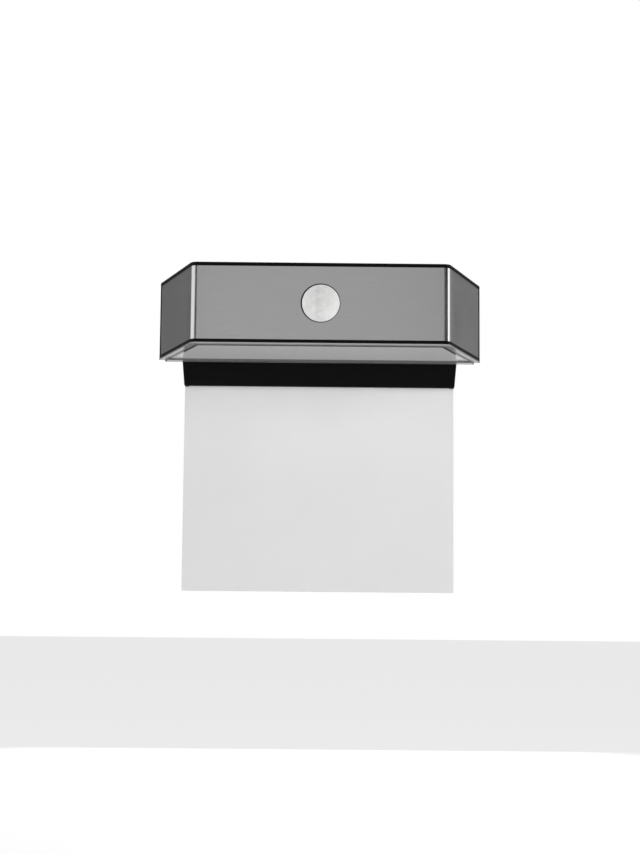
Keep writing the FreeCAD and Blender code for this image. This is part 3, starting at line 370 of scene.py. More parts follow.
# ---------------------------------------------------------------- sensor dome
def sensor_dome():
    """Dome as a depth over a disc: the front of the big ball or of a facet's ball, whichever stands out most.

    A ball's front is centre - sqrt(radius^2 - distance^2). The fronts are joined by the soft minimum
    -log(sum of exp(-k front)) / k, so that the facets melt into the dome. More rings then go down the
    skirt, out over the flange and back up the inside, whose ball is smaller by the lens wall.
    """
    size = sizes()
    face, back = HEAD_LOW[1] + size.setback, LENS_HIGH[1]
    big = (size.dome ** 2 + size.bulge ** 2) / (2 * size.bulge)
    centre = face - size.bulge + big
    spokes = 144
    angle = np.linspace(0, 2 * np.pi, spokes, endpoint=False)
    radius = (np.linspace(0, 1, 48) ** 0.9 * size.dome)[:, None]
    x, z = radius * np.cos(angle), radius * np.sin(angle)
    out, tilt = big + size.facet_rise - size.facet_radius, math.asin(size.facet_ring / big)
    turn = 2 * np.pi * (np.arange(size.facets) + 0.5) / size.facets
    around = math.sin(tilt) * out
    spots = np.column_stack([around * np.cos(turn), np.full(size.facets, centre - math.cos(tilt) * out),
                             around * np.sin(turn)])
    spots = np.vstack([[0, centre - out, 0], spots])
    plain = centre - np.sqrt(big ** 2 - x ** 2 - z ** 2)
    reach = size.facet_radius ** 2 - (x[..., None] - spots[:, 0]) ** 2 - (z[..., None] - spots[:, 2]) ** 2
    fronts = np.concatenate([plain[..., None], spots[:, 1] - np.sqrt(np.maximum(reach, 0.01))], -1)
    sharpness = 45.0
    depth = face - np.log(np.exp(-sharpness * (fronts - face)).sum(-1)) / sharpness
    edge = np.clip(radius / size.dome * 10 - 9, 0, 1)
    depth = np.maximum(depth * (1 - edge) + plain * edge, LENS_LOW[1])
    flange, step = LENS_HIGH[0], back - size.lens_flange
    bore, inner = size.dome - size.lens_wall, big - size.lens_wall
    arc = np.linspace(bore, 0, 12)
    down = [(size.dome, step - 0.15), (size.dome + 0.15, step), (flange - 0.15, step), (flange, step + 0.15),
            (flange, back - 0.15), (flange - 0.15, back), (bore, back)]
    down += list(zip(arc, centre - np.sqrt(inner ** 2 - arc ** 2)))
    rings = [np.column_stack([r * np.cos(angle), np.full(spokes, y), r * np.sin(angle)]) for r, y in down]
    grid = np.concatenate([np.stack([x, depth, z], -1), np.array(rings)])
    grid[:len(x) + 1] += (size.dome_shift[0], 0, size.dome_shift[1])
    return skin("sensor_dome", *welded(grid, quads(len(grid), spokes, close_columns=True)[:, ::-1]), 35)


# ---------------------------------------------------------------- number panel
def number_panel():
    """Panel with a narrower tongue behind the bar, its outline drawn in along a rounded edge."""
    size = sizes()
    half, tongue, shoulder = PANEL_HIGH[0], CLAMP_HIGH[0], BOX_LOW[2] - size.tongue_fit
    low, high = PANEL_LOW[2], PANEL_HIGH[2]
    corners = np.array([(-half, low), (half, low), (half, shoulder), (tongue, shoulder), (tongue, high),
                        (-tongue, high), (-tongue, shoulder), (-half, shoulder)])
    away = np.array([(-1, -1), (1, -1), (1, 1), (1, 1), (1, 1), (-1, 1), (-1, 1), (-1, 1)])
    radii = [0.6, 0.6, 0.6, 0.05, 0.6, 0.6, 0.05, 0.6]
    rings = []
    for inset, depth in zip(*plate_edge(PANEL_LOW[1], PANEL_HIGH[1], size.panel_edge, 5)):
        outline = arc_loop(corners - away * inset, radii, 6)
        rings.append(np.column_stack([outline[:, 0], np.full(len(outline), depth), outline[:, 1]]))
    return skin("opal_number_panel", *stack(rings, turn=True))


# ---------------------------------------------------------------- solar module
def solar_pane():
    """Glass pane of the solar module with ground edges."""
    inset = HEAD_HIGH[1] - GLASS_HIGH[1]
    return skin("solar_pane", *head_plate(inset, GLASS_LOW[2], GLASS_HIGH[2], 0.25))


def silicon_strips():
    """Equal strips side by side, each a thin plate whose outline shrinks by a hair towards its faces."""
    boxes = separate_boxes("solar_cells")
    width, length = boxes[0][1][0] - boxes[0][0][0], CELLS_HIGH[1] - CELLS_LOW[1]
    corners = np.array([(-width / 2, -length / 2), (width / 2, -length / 2), (width / 2, length / 2),
                        (-width / 2, length / 2)])
    rings = []
    for inset, height in zip(*plate_edge(CELLS_LOW[2], CELLS_HIGH[2], 0.06, 3)):
        outline = arc_loop(corners * (1 - inset / np.abs(corners)), [0.8] * 4, 5)
        rings.append(np.column_stack([outline, np.full(len(outline), height)]))
    points, faces = stack(rings)
    middles = [((low + high) / 2 * (1, 1, 0)) for low, high in boxes]
    return skin("silicon_strips", *repeated(points, faces, middles))


# ---------------------------------------------------------------- mode knob
def frame_ring(half_x, half_z, depth, count, soft):
    """Points round a rectangle, count on each side, matching the border of a square grid.

    Corners are rounded by keeping each point within the radius of the rectangle drawn in by that radius.
    """
    t = np.linspace(-1, 1, count + 1)
    one = np.ones(count)
    u = np.concatenate([t[:-1], one, -t[:-1], -one])
    v = np.concatenate([-one, t[:-1], one, -t[:-1]])
    spot, reach = np.column_stack([u * half_x, v * half_z]), np.array([half_x, half_z]) - soft
    core = np.clip(spot, -reach, reach)
    away = spot - core
    spot = core + away * (soft / np.maximum(np.linalg.norm(away, axis=1), soft + 1e-9))[:, None]
    return np.column_stack([spot[:, 0], np.full(4 * count, depth), spot[:, 1]])


def ridged_knob():
    """Slide cap: rectangles stepped back to front from stem over skirt to grip, whose face is ridged.

    The grip's face is a grid whose depth falls by rise * cos^8 of five half turns across, the grooves.
    """
    count, level = 32, (KNOB_LOW[2] + KNOB_HIGH[2]) / 2
    back, top = KNOB_LOW[1], KNOB_HIGH[1]
    skirt, under = top - 1.1, top - 2.0
    wide, tall = KNOB_HIGH[0], (KNOB_HIGH[2] - KNOB_LOW[2]) / 2
    stem = [(1.2, 0.9, back + 1.6), (1.3, 0.9, back), (1.9, 1.4, back), (2.0, 1.5, back + 0.1),
            (2.0, 1.5, under)]
    cap = [(wide - 0.1, tall - 0.1, under), (wide, tall, under + 0.1), (wide, tall, skirt - 0.35),
           (wide - 0.12, tall - 0.12, skirt - 0.12), (wide - 0.35, tall - 0.35, skirt)]
    grip = [(3.5, 2.3, skirt), (3.4, 2.2, top - 0.2), (3.2, 2.0, top)]
    rings = np.array([frame_ring(a, b, y, count, soft) for steps, soft in
                      ((stem, 0), (cap, sizes().knob_corner), (grip, 0)) for a, b, y in steps])
    body = rings, quads(len(rings), 4 * count, close_columns=True)[:, ::-1]
    t = np.linspace(-1, 1, count + 1)
    u, v = np.meshgrid(t, t, indexing="ij")
    groove = np.cos(np.pi * 2.5 * u) ** 8 * (np.abs(u) < 0.81) * (np.abs(v) < 0.999)
    face = np.stack([u * grip[-1][0], top - 0.55 * groove, v * grip[-1][1]], -1)
    bottom = np.stack([u * stem[0][0], np.full_like(u, stem[0][2]), v * stem[0][1]], -1)
    cells = quads(count + 1, count + 1)
    points, faces = welded(*merged([body, (face, cells), (bottom, cells[:, ::-1])]))
    return skin("ridged_mode_knob", points + (0, 0, level), faces, 30)


# ---------------------------------------------------------------- screws
def screw_form(length, head, tip=1.2):
    """Pan-head screw along the first axis, its head's top at nought and its tip at the full length.

    Head: depth over a disc, a flat middle that falls off as a quarter ellipse, less a cross-shaped recess
    whose flanks are smooth steps. Shank: radius = root + depth * ridge(along / pitch - turn), where the
    ridge is a triangle with a cut crest and fades out under the head and to the tip.
    """
    shank, crown, pitch, cut = sizes().shank, sizes().crown, sizes().thread_pitch, sizes().thread_depth
    spokes = 40
    angle = np.linspace(0, 2 * np.pi, spokes, endpoint=False)
    radius = np.linspace(0, 1, 20)[:, None] * head
    across, up = radius * np.cos(angle), radius * np.sin(angle)
    far, near = np.maximum(np.abs(across), np.abs(up)), np.minimum(np.abs(across), np.abs(up))
    cross = np.clip((0.5 - near) / 0.2, 0, 1) * np.clip((1.6 - far) / 0.3, 0, 1)
    cross = cross * cross * (3 - 2 * cross)
    rim = np.clip((radius / head - 0.55) / 0.45, 0, 1)
    top = crown * 0.62 * (1 - np.sqrt(1 - rim ** 2 * 0.999)) + 0.9 * cross
    cap = np.stack([np.broadcast_to(top, across.shape), across, up], -1)
    skirt = [np.column_stack([np.full(spokes, along), r * np.cos(angle), r * np.sin(angle)])
             for along, r in [(crown - 0.12, head), (crown, head - 0.12), (crown, shank)]]
    rows = max(int((length - crown) * 9 / pitch), 12)
    along = np.linspace(crown, length, rows + 1)[1:, None]
    phase = (along / pitch - angle / (2 * np.pi)) % 1.0
    ridge = np.clip(1.4 - np.abs(phase - 0.5) * 4, 0, 1)
    fade = np.clip((along - crown - 0.3) / 0.6, 0, 1)
    root = shank - cut * fade
    point = np.clip((length - along) / tip, 0, 1) ** 0.7
    round_shank = (root + cut * ridge * fade) * (0.28 + 0.72 * point)
    thread = np.stack([np.broadcast_to(along, round_shank.shape), round_shank * np.cos(angle),
                       round_shank * np.sin(angle)], -1)
    end = np.column_stack([np.full(spokes, length), np.zeros(spokes), np.zeros(spokes)])
    grid = np.concatenate([cap, np.array(skirt), thread, end[None]])
    return welded(grid, quads(len(grid), spokes, close_columns=True))


def screw_set(node, axis, sign):
    """All screws of a node: one form turned so that its length runs along the axis, set at each head."""
    boxes = separate_boxes(node)
    low, high = boxes[0]
    head = (high - low)[(axis + 1) % 3] / 2
    points, faces = screw_form((high - low)[axis], head)
    order = [(0, 1, 2), (2, 0, 1), (1, 2, 0)][axis]
    points = points[:, list(order)]
    points[:, axis] *= sign
    if sign < 0:
        faces = [face[::-1] for face in faces]
    starts = []
    for low, high in boxes:
        start = (low + high) / 2
        start[axis] = low[axis] if sign > 0 else high[axis]
        starts.append(start)
    return skin(node.replace("_screws", "") + "_threaded_screws", *repeated(points, faces, starts), 35)


# ---------------------------------------------------------------- inside
def round_cell():
    """Battery: turned about its length, with a rolled shoulder, a crimp groove and a raised cap."""
    low, high = BATTERY_LOW[0], BATTERY_HIGH[0] - 1.0
    r = (BATTERY_HIGH[2] - BATTERY_LOW[2]) / 2
    t = np.linspace(0, np.pi / 2, 6)
    profile = [(low, 0), (low, r - 1.2)] + list(zip(low + 0.9 * (1 - np.cos(t)), r - 0.9 + 0.9 * np.sin(t)))
    groove = np.linspace(-1, 1, 13)
    profile += list(zip(high - 4.2 + groove * 1.1, r - 0.55 * np.cos(groove * np.pi / 2) ** 2))
    profile += list(zip(high - 0.9 * (1 - np.sin(t)), r - 0.9 + 0.9 * np.cos(t)))
    profile += [(high, r - 2.2), (high - 0.25, r - 2.5), (high - 0.25, 3.4), (high, 3.0), (high + 0.8, 3.0),
                (high + 1.0, 2.8), (high + 1.0, 0)]
    points, faces = turned(profile, 64)
    middle = (BATTERY_LOW + BATTERY_HIGH) / 2
    return skin("round_cell", points + (0, middle[1], middle[2]), faces, 35)


def capacitor_cans():
    """Capacitors: turned cans with a rubber foot, a beaded neck and a rolled top with its flat disc."""
    boxes = separate_boxes("control_capacitors")
    low, high = boxes[0]
    r, h = (high - low)[0] / 2, (high - low)[2]
    t = np.linspace(0, np.pi / 2, 5)
    profile = [(0, 0), (0, r - 0.5), (0.5, r - 0.45), (0.9, r), (1.4, r), (1.7, r - 0.3), (2.0, r)]
    profile += list(zip(h - 0.5 * (1 - np.sin(t)), r - 0.5 + 0.5 * np.cos(t)))
    profile += [(h, r - 0.8), (h - 0.15, r - 0.9), (h - 0.15, 0)]
    points, faces = turned(profile, 40)
    points = points[:, [1, 2, 0]]
    places = [((a + b) / 2 * (1, 1, 0) + a * (0, 0, 1)) for a, b in boxes]
    return skin("capacitor_cans", *repeated(points, faces, places), 35)


# ---------------------------------------------------------------- finishes
class Nodes:
    """A node tree being wired. Most methods add a node and give back its output."""

    def __init__(self, tree):
        self.tree = tree

    def join(self, value, socket):
        """Links an output to the socket, or gives the socket a constant."""
        if isinstance(value, bpy.types.NodeSocket):
            self.tree.links.new(value, socket)
        else:
            socket.default_value = value

    def add(self, kind, **settings):
        """A node; a setting named like one of its sockets goes to that socket."""
        node = self.tree.nodes.new("ShaderNode" + kind)
        for key, value in settings.items():
            if key in node.inputs:
                self.join(value, node.inputs[key])
            else:
                setattr(node, key, value)
        return node

    def filled(self, node, values):
        """The node's first output, its first sockets filled in order."""
        for value, socket in zip(values, node.inputs):
            self.join(value, socket)
        return node.outputs[0]

    def calc(self, operation, *values):
        return self.filled(self.add("Math", operation=operation), values)

    def blended(self, share, first, second):
        """Two shaders mixed by a share."""
        return self.filled(self.add("MixShader"), (share, first, second))

    def place(self):
        return self.add("TexCoord").outputs["Object"]

    def axes(self):
        """The place's x, y and z."""
        return self.add("SeparateXYZ", Vector=self.place()).outputs

    def grain(self, source, scale, stretch=(1, 1, 1), detail=2.0):
        """Noise over a coordinate that may be stretched."""
        stretched = self.add("Mapping", Vector=source, Scale=stretch).outputs["Vector"]
        noise = self.add("TexNoise", Vector=stretched, Scale=scale, Detail=detail, Roughness=0.6)
        return noise.outputs["Fac"]

    def spread(self, source, low, high, start=0.3, end=0.7):
        """The source's range from start to end laid out from low to high."""
        return self.filled(self.add("MapRange"), (source, start, end, low, high))

    def tinted(self, source, dark, light):
        """Colour between dark and light by the source."""
        mix = self.add("Mix", data_type="RGBA")
        self.join(source, mix.inputs[0])
        for color, socket in zip((dark, light), [socket for socket in mix.inputs if socket.type == "RGBA"]):
            self.join(color if isinstance(color, bpy.types.NodeSocket) else (*color, 1), socket)
        return next(socket for socket in mix.outputs if socket.type == "RGBA")


class Finish(Nodes):
    """A material and its shader."""

    def __init__(self, name):
        self.material = bpy.data.materials.new(name)
        self.material.use_nodes = True
        super().__init__(self.material.node_tree)
        self.shader = self.tree.nodes["Principled BSDF"]

    def wear(self, values):
        """Sets or links sockets of the shader."""
        for name, value in values.items():
            self.join(value, self.shader.inputs[name])

    def milk(self, share, depth):
        """Lets light in, spread under the skin by the depth in mm."""
        self.wear({"Subsurface Weight": share, "Subsurface Radius": (1, 1, 1)})
        self.wear({"Subsurface Scale": depth * MM})

    def relief(self, source, distance, strength=1.0, edge=None):
        """Bump from the source, over softened edges where an edge radius is given."""
        bump = self.add("Bump", Strength=strength, Distance=distance, Height=source)
        if edge:
            self.join(self.add("Bevel", Radius=edge, samples=6).outputs["Normal"], bump.inputs["Normal"])
        self.wear({"Normal": bump.outputs["Normal"]})


def tones(color, low=0.9, high=1.1):
    return [c * low for c in color], [min(c * high, 1.0) for c in color]


def brushed_finish(name, base, rough, uv=None, stretch=(0.45, 50, 50), edge=None):
    """Sheet metal brushed one way: long fine lines in colour and roughness, blurred across the lines."""
    made = Finish(name)
    source = made.add("UVMap", uv_map=uv).outputs["UV"] if uv else made.place()
    lines, cloud = made.grain(source, 60, stretch, 2.5), made.grain(source, 26)
    streaks = made.spread(lines, -0.03, 0.03, 0.2, 0.8)
    patches = made.spread(cloud, rough - 0.02, rough + 0.03)
    made.wear({"Base Color": made.tinted(made.spread(lines, 0, 1, 0.2, 0.8), *tones([base] * 3, 0.93, 1.07)),
               "Roughness": made.calc("ADD", streaks, patches), "Metallic": 1.0})
    if uv:
        tangent = made.add("Tangent", direction_type="UV_MAP", uv_map=uv).outputs["Tangent"]
        made.wear({"Anisotropic": 0.6, "Anisotropic Rotation": 0.25, "Tangent": tangent})
    if edge:
        made.relief(lines, 0.01 * MM, 0.1, edge)
    return made.material


def moulding_finish(name, color, rough, shine, edge=0.3 * MM):
    """Moulded plastic with a fine sand-blasted grain and softened edges."""
    made = Finish(name)
    fine, cloud = made.grain(made.place(), 900), made.grain(made.place(), 30)
    made.wear({"Base Color": made.tinted(made.spread(cloud, 0, 1), *tones(color)),
               "Roughness": made.spread(fine, rough - 0.05, rough + 0.05), "Specular IOR Level": shine})
    made.relief(fine, 0.03 * MM, 0.5, edge)
    return made.material


def opal_finish(name, color, rough, milk, depth):
    """Opal plastic: light enters, spreads under the skin and comes out soft."""
    made = Finish(name)
    cloud, fine = made.grain(made.place(), 22), made.grain(made.place(), 400)
    made.wear({"Base Color": made.tinted(made.spread(cloud, 0, 1), *tones(color, 0.99, 1.01)),
               "Roughness": made.spread(fine, rough - 0.02, rough + 0.03)})
    made.milk(milk, depth)
    made.relief(cloud, 0.05 * MM, 0.25)
    return made.material


def backed_opal_finish(name, clear, backed, rough, margin, black_band=0.45):
    """Opal plate that looks greyer along its margin, where the black lip behind it takes the light.

    The margin is where the distance to the front edge or to a slanted side is less than its width: on the
    side that distance is (half width at that depth - |x|) times the cosine of the side's angle. The top
    of the plate's edge, to the height of the black band, is coloured black.
    """
    made = Finish(name)
    across, ahead, up = made.axes()
    run = (sizes().rear_width - sizes().front_width) / 2 / (HEAD_HIGH[1] - HEAD_LOW[1])
    outline = made.calc("MULTIPLY_ADD", ahead, run, (sizes().front_width / 2 - run * HEAD_LOW[1]) * MM)
    inwards = made.calc("SUBTRACT", outline, made.calc("ABSOLUTE", across))
    from_side = made.calc("MULTIPLY", inwards, math.cos(math.atan(run)))
    from_front = made.calc("SUBTRACT", ahead, HEAD_LOW[1] * MM)
    nearest = made.calc("MINIMUM", from_side, from_front)
    share = made.spread(nearest, 0, 1, (margin - 0.3) * MM, (margin + 0.6) * MM)
    # Colour only: the plate goes black over the top of its edge, by the height of the black band.
    top = PLATE_HIGH[2] - black_band
    below_black_band = made.spread(up, 1, 0.01, top * MM, (top + 0.05) * MM)
    paint = made.tinted(share, backed, clear)
    dimmed = made.add("VectorMath", operation="SCALE", Vector=paint, Scale=below_black_band).outputs["Vector"]
    fine = made.grain(made.place(), 400)
    made.wear({"Base Color": dimmed, "Roughness": made.spread(fine, rough - 0.02, rough + 0.03)})
    made.milk(0.15, 0.6)
    made.relief(fine, 0.01 * MM, 0.2, 0.2 * MM)
    return made.material


def trim_finish(name, dark, strip, start):
    """Glossy trim, its rear strip of a paler black than the thin frame in front of it."""
    made = Finish(name)
    share = made.spread(made.axes()["Y"], 0, 1, start * MM, (start + 0.3) * MM)
    fine = made.grain(made.place(), 500)
    made.wear({"Base Color": made.tinted(share, dark, strip), "Roughness": made.spread(fine, 0.08, 0.14)})
    made.relief(fine, 0.01 * MM, 0.2, 0.15 * MM)
    return made.material


def lens_finish(name, color):
    """Milky lens plastic, a little uneven, with painted light: paler towards its left and right edges and
    greyer towards its middle lens, as the side lamps would light it.
    """
    made = Finish(name)
    cloud = made.grain(made.place(), 240, detail=3.0)
    # Painted light: the colour grows paler with the distance from the dome's axis, mostly sideways, standing
    # in for the side lamps' light.
    flat = made.add("Mapping", Vector=made.place(), Scale=(1, 0, 0.4)).outputs["Vector"]
    away = made.add("VectorMath", operation="LENGTH", Vector=flat).outputs["Value"]
    paler = made.calc("ADD", made.spread(cloud, -0.25, 0.25), made.spread(away, 0, 1, 1 * MM, 11 * MM))
    made.wear({"Base Color": made.tinted(paler, *tones(color, 0.86, 1.1)),
               "Roughness": made.spread(cloud, 0.22, 0.32)})
    made.milk(0.12, 0.8)
    made.relief(cloud, 0.08 * MM, 0.5)
    return made.material


def silicon_finish(name, finger_pitch=2.1, finger=0.22, bus_pitch=11.5, bus=0.7):
    """Dark blue silicon with thin silver fingers across each strip and bus lines along it, sizes in mm."""
    made = Finish(name)

    def lines(axis, pitch, width):
        nearest = made.calc("PINGPONG", made.axes()[axis], pitch / 2 * MM)
        return made.calc("LESS_THAN", nearest, width / 2 * MM)

    silver = made.calc("MAXIMUM", lines("Y", finger_pitch, finger), lines("X", bus_pitch, bus))
    crystals = made.add("TexVoronoi", Vector=made.place(), Scale=160.0).outputs["Distance"]
    ground = made.tinted(crystals, (0.006, 0.009, 0.028), (0.014, 0.02, 0.06))
    made.wear({"Base Color": made.tinted(silver, ground, (0.55, 0.56, 0.58)), "Metallic": silver,
               "Roughness": 0.28})
    return made.material


def glass_finish(name):
    """Clear pane over the cells with the faintest waviness."""
    made = Finish(name)
    wave = made.grain(made.place(), 60)
    made.wear({"Base Color": (0.97, 0.99, 0.985, 1), "Roughness": made.spread(wave, 0.02, 0.05),
               "Transmission Weight": 1.0, "IOR": 1.5})
    made.relief(wave, 0.01 * MM, 0.15)
    return made.material


def board_finish(name, mask, track):
    """Circuit board: solder mask over paler tracks."""
    made = Finish(name)
    tracks = made.add("TexBrick", Vector=made.place(), Scale=150.0, offset=0.37, Color1=(*mask, 1),
                      Color2=(*[c * 0.85 for c in mask], 1), Mortar=(*track, 1))
    made.join(0.05, tracks.inputs["Mortar Size"])
    made.wear({"Base Color": tracks.outputs["Color"], "Roughness": 0.35})
    made.relief(tracks.outputs["Fac"], 0.03 * MM, 0.4, 0.2 * MM)
    return made.material


def cover_finish(name, color, rough):
    """Soft covering such as wire insulation or seal rubber, with a dull bloom."""
    made = Finish(name)
    cloud = made.grain(made.place(), 300, detail=3.0)
    made.wear({"Base Color": made.tinted(made.spread(cloud, 0, 1), *tones(color, 0.8, 1.15)),
               "Roughness": made.spread(cloud, rough - 0.08, rough + 0.1)})
    made.relief(cloud, 0.04 * MM, 0.4)
    return made.material


def plated_finish(name, color, rough, edge, spangle):
    """Plated metal with a cloudy spangle in its colour and a finely uneven roughness."""
    made = Finish(name)
    spots = made.add("TexVoronoi", Vector=made.place(), Scale=spangle).outputs["Distance"]
    fine = made.grain(made.place(), 500, detail=3.0)
    made.wear({"Base Color": made.tinted(spots, *tones(color, 0.85, 1.12)),
               "Roughness": made.spread(fine, rough - 0.06, rough + 0.08), "Metallic": 1.0})
    made.relief(fine, 0.01 * MM, 0.4, edge)
    return made.material


def sleeve_finish(name, color, rough):
    """Shrink sleeve over the cell: thin shiny film with slight wrinkles."""
    made = Finish(name)
    wrinkle = made.grain(made.place(), 160, (0.3, 1, 1), 3.0)
    made.wear({"Base Color": made.tinted(made.spread(wrinkle, 0, 1), *tones(color, 0.9, 1.08)),
               "Roughness": made.spread(wrinkle, rough - 0.05, rough + 0.08)})
    made.relief(wrinkle, 0.05 * MM, 0.5)
    return made.material


FINISHES = {}


def finish_table():
    """How the finish of each material slot is made: its function and what it takes after the name."""
    color = colours()
    return {
        "black_plastic": (moulding_finish, color.moulding, 0.42, 0.07, 0.15 * MM),
        "knob_plastic": (moulding_finish, (0.24, 0.24, 0.25), 0.5, 0.35),
        "white_plastic": (moulding_finish, (0.78, 0.78, 0.76), 0.45, 0.4),
        "chip_plastic": (moulding_finish, (0.015, 0.015, 0.016), 0.5, 0.3, 0.1 * MM),
        "socket_nylon": (moulding_finish, (0.62, 0.60, 0.54), 0.5, 0.35, 0.1 * MM),
        "brushed_steel": (brushed_finish, color.steel, 0.3, "sheet"),
        "nickel_strip": (brushed_finish, 0.6, 0.32, None, (10, 10, 1), 0.1 * MM),
        "switch_metal": (brushed_finish, 0.5, 0.35, None, (1, 20, 20), 0.2 * MM),
        "screw_steel": (plated_finish, (0.5, 0.5, 0.49), 0.32, None, 400.0),
        "zinc_plate": (plated_finish, (0.46, 0.47, 0.48), 0.38, 0.4 * MM, 70.0),
        "sensor_can": (plated_finish, (0.62, 0.58, 0.5), 0.25, 0.3 * MM, 200.0),
        "capacitor_can": (sleeve_finish, (0.03, 0.04, 0.07), 0.3),
        "battery_sleeve": (sleeve_finish, (0.05, 0.16, 0.34), 0.32),
        "opal_panel": (opal_finish, color.panel, 0.38, 0.5, 2.5),
        "diode_body": (opal_finish, (0.85, 0.72, 0.25), 0.3, 0.2, 0.3),
        "opal_diffuser": (backed_opal_finish, color.diffuser, color.backed, 0.18, 3.7),
        "trim_plastic": (trim_finish, color.trim, color.rear_strip, TRIM_HIGH[1] - 7.4),
        "lens_plastic": (lens_finish, color.lens),
        "seal_rubber": (cover_finish, (0.02, 0.02, 0.02), 0.65),
        "lead_cover": (cover_finish, (0.35, 0.02, 0.02), 0.45),
        "solar_glass": (glass_finish,),
        "solar_silicon": (silicon_finish,),
        "module_board": (board_finish, (0.012, 0.015, 0.028), (0.02, 0.024, 0.042)),
        "circuit_board": (board_finish, (0.01, 0.09, 0.035), (0.05, 0.17, 0.07)),
        "diode_board": (board_finish, (0.75, 0.75, 0.73), (0.6, 0.6, 0.58)),
    }


def finish_for(slot):
    """The finish of a material slot, made the first time it is asked for."""
    if slot not in FINISHES:
        make, *values = finish_table()[slot]
        FINISHES[slot] = make(slot, *values)
    return FINISHES[slot]


def slot_of(node):
    """Material slot of a CAD node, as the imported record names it."""
    return next(entry["material_slot"] for entry in frame["record"]["subparts"] if entry["node"] == node)


def body_of(node):
    """Body that a CAD node rides on."""
    bodies = frame["record"]["behaviour"]["bodies"]
    return next(body for body, members in bodies.items() if node in members)


def put_on(piece, node):
    """The piece takes a CAD node's place, rides its body and wears the finish of its slot."""
    slot = slot_of(node)
    piece.data.materials.append(finish_for(slot))
    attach(piece, body_of(node))
    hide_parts(node)


# ---------------------------------------------------------------- stage
def watts(label, about, default):
    return FloatProperty(name=label, description=about, default=default, unit="POWER")


def turn(label, about, degrees):
    return FloatProperty(name=label, description=about, default=math.radians(degrees), subtype="ANGLE")


class FenceLightStage(bpy.types.PropertyGroup):
    """Where the camera stands and how bright the studio is."""
    eye: FloatVectorProperty(name="Camera", description="Where the camera stands", subtype="TRANSLATION",
                             unit="LENGTH", default=(-0.00368, -1.0124, -0.1785))
    yaw: turn("Yaw", "Camera turned to the left", -0.246)
    pitch: turn("Pitch", "Camera tipped up", 6.444)
    roll: turn("Roll", "Camera rolled", 0.519)
    focal: FloatProperty(name="Focal length", description="Lens on a 36 mm frame, mm", default=68.56)
    room: FloatProperty(name="Room", description="Even light from all round on matt surfaces", default=0.25)
    left: watts("Left softbox", "Power of the left softbox", 4.3)
    right: watts("Right softbox", "Power of the right softbox", 6.9)
    low: watts("Low softbox", "Power of the softbox low in front", 3.2)
    back: watts("Back softbox", "Power of the softbox behind", 5.0)
    floor_drop: FloatProperty(name="Floor", description="Floor below the middle of the head", default=0.40,
                              unit="LENGTH")


def stage_values():
    return bpy.context.scene.fence_light_stage


def seen_directly(made):
    """One for camera, glossy and transmitted rays, nought for the light that matt surfaces gather."""
    ray = made.add("LightPath").outputs
    camera_or_glossy = made.calc("MAXIMUM", ray["Is Camera Ray"], ray["Is Glossy Ray"])
    return made.calc("MAXIMUM", camera_or_glossy, ray["Is Transmission Ray"])


def white_room():
    """World: white where it is seen or mirrored, an even plain level on matt surfaces."""
    world = bpy.data.worlds.new("white_room")
    world.use_nodes = True
    made = Nodes(world.node_tree)
    made.tree.nodes.clear()
    plain, white = [made.add("Background", Color=(1, 1, 1, 1), Strength=level).outputs[0]
                    for level in (stage_values().room, 1.0)]
    made.join(made.blended(seen_directly(made), plain, white), made.add("OutputWorld").inputs["Surface"])
    bpy.context.scene.world = world


def pale_floor():
    """Wide level plane, pale and matt, lifted so that only shadows show on it, and clear from below."""
    span, level = 12000.0, -stage_values().floor_drop / MM
    corners = [(-span, -span, level), (span, -span, level), (span, span, level), (-span, span, level)]
    piece = skin("studio_floor", corners, [[0, 1, 2, 3]])
    made = Finish("studio_floor")
    lift = made.calc("MULTIPLY_ADD", seen_directly(made), 0.53, 0.07)
    made.wear({"Base Color": (0.86, 0.86, 0.86, 1), "Roughness": 0.9, "Specular IOR Level": 0.0,
               "Emission Color": (1, 1, 1, 1), "Emission Strength": lift})
    below, clear = made.add("NewGeometry").outputs["Backfacing"], made.add("BsdfTransparent").outputs[0]
    one_sided = made.blended(below, made.shader.outputs[0], clear)
    made.join(one_sided, made.tree.nodes["Material Output"].inputs["Surface"])
    piece.data.materials.append(made.material)


# What the steel mirrors: azimuth from the front in degrees, and brightness there.
GLOW = [(-150, 0.128), (-124, 0.135), (-108, 1.25), (-46, 1.25), (-38, 0.0), (-14, 0.0), (-9, 0.76),
        (0, 0.495), (9, 0.65), (14, 0.04), (68, 0.0), (77, 2.1), (97, 2.1), (106, 1.3), (119, 0.9),
        (131, 0.30), (138, 0.16), (144, 0.115), (150, 0.10)]


def reflector_screen(reach=150, low=-28, high=50, distance=1600.0):
    """Curved studio screen that only glossy surfaces mirror: part of a ball, its glow laid out by azimuth.

    Point = distance * (cos e sin a, -cos e cos a, sin e), for azimuth a from the front and elevation e.
    """
    e, a = np.meshgrid(np.radians(np.linspace(low, high, 14)), np.radians(np.linspace(-reach, reach, 61)),
                       indexing="ij")
    points = np.stack([np.cos(e) * np.sin(a), -np.cos(e) * np.cos(a), np.sin(e)], -1) * distance
    piece = skin("reflector_screen", points, quads(*e.shape), 180)
    made = Finish("reflector_screen")
    across, ahead, _ = made.axes()
    azimuth = made.calc("ARCTAN2", across, made.calc("MULTIPLY", ahead, -1.0))
    ramp = made.add("ValToRGB", Fac=made.spread(azimuth, 0, 1, -math.pi, math.pi))
    stops = ramp.color_ramp.elements
    stops.remove(stops[1])
    for angle, level in GLOW:
        stops.new((angle + 180) / 360).color = (level, level, level, 1)
    stops.remove(stops[0])
    made.wear({"Base Color": (0, 0, 0, 1), "Specular IOR Level": 0.0, "Emission Color": ramp.outputs["Color"],
               "Emission Strength": 1.0})
    piece.data.materials.append(made.material)
    for ray in ("camera", "diffuse", "shadow", "transmission", "volume_scatter"):
        setattr(piece, "visible_" + ray, False)


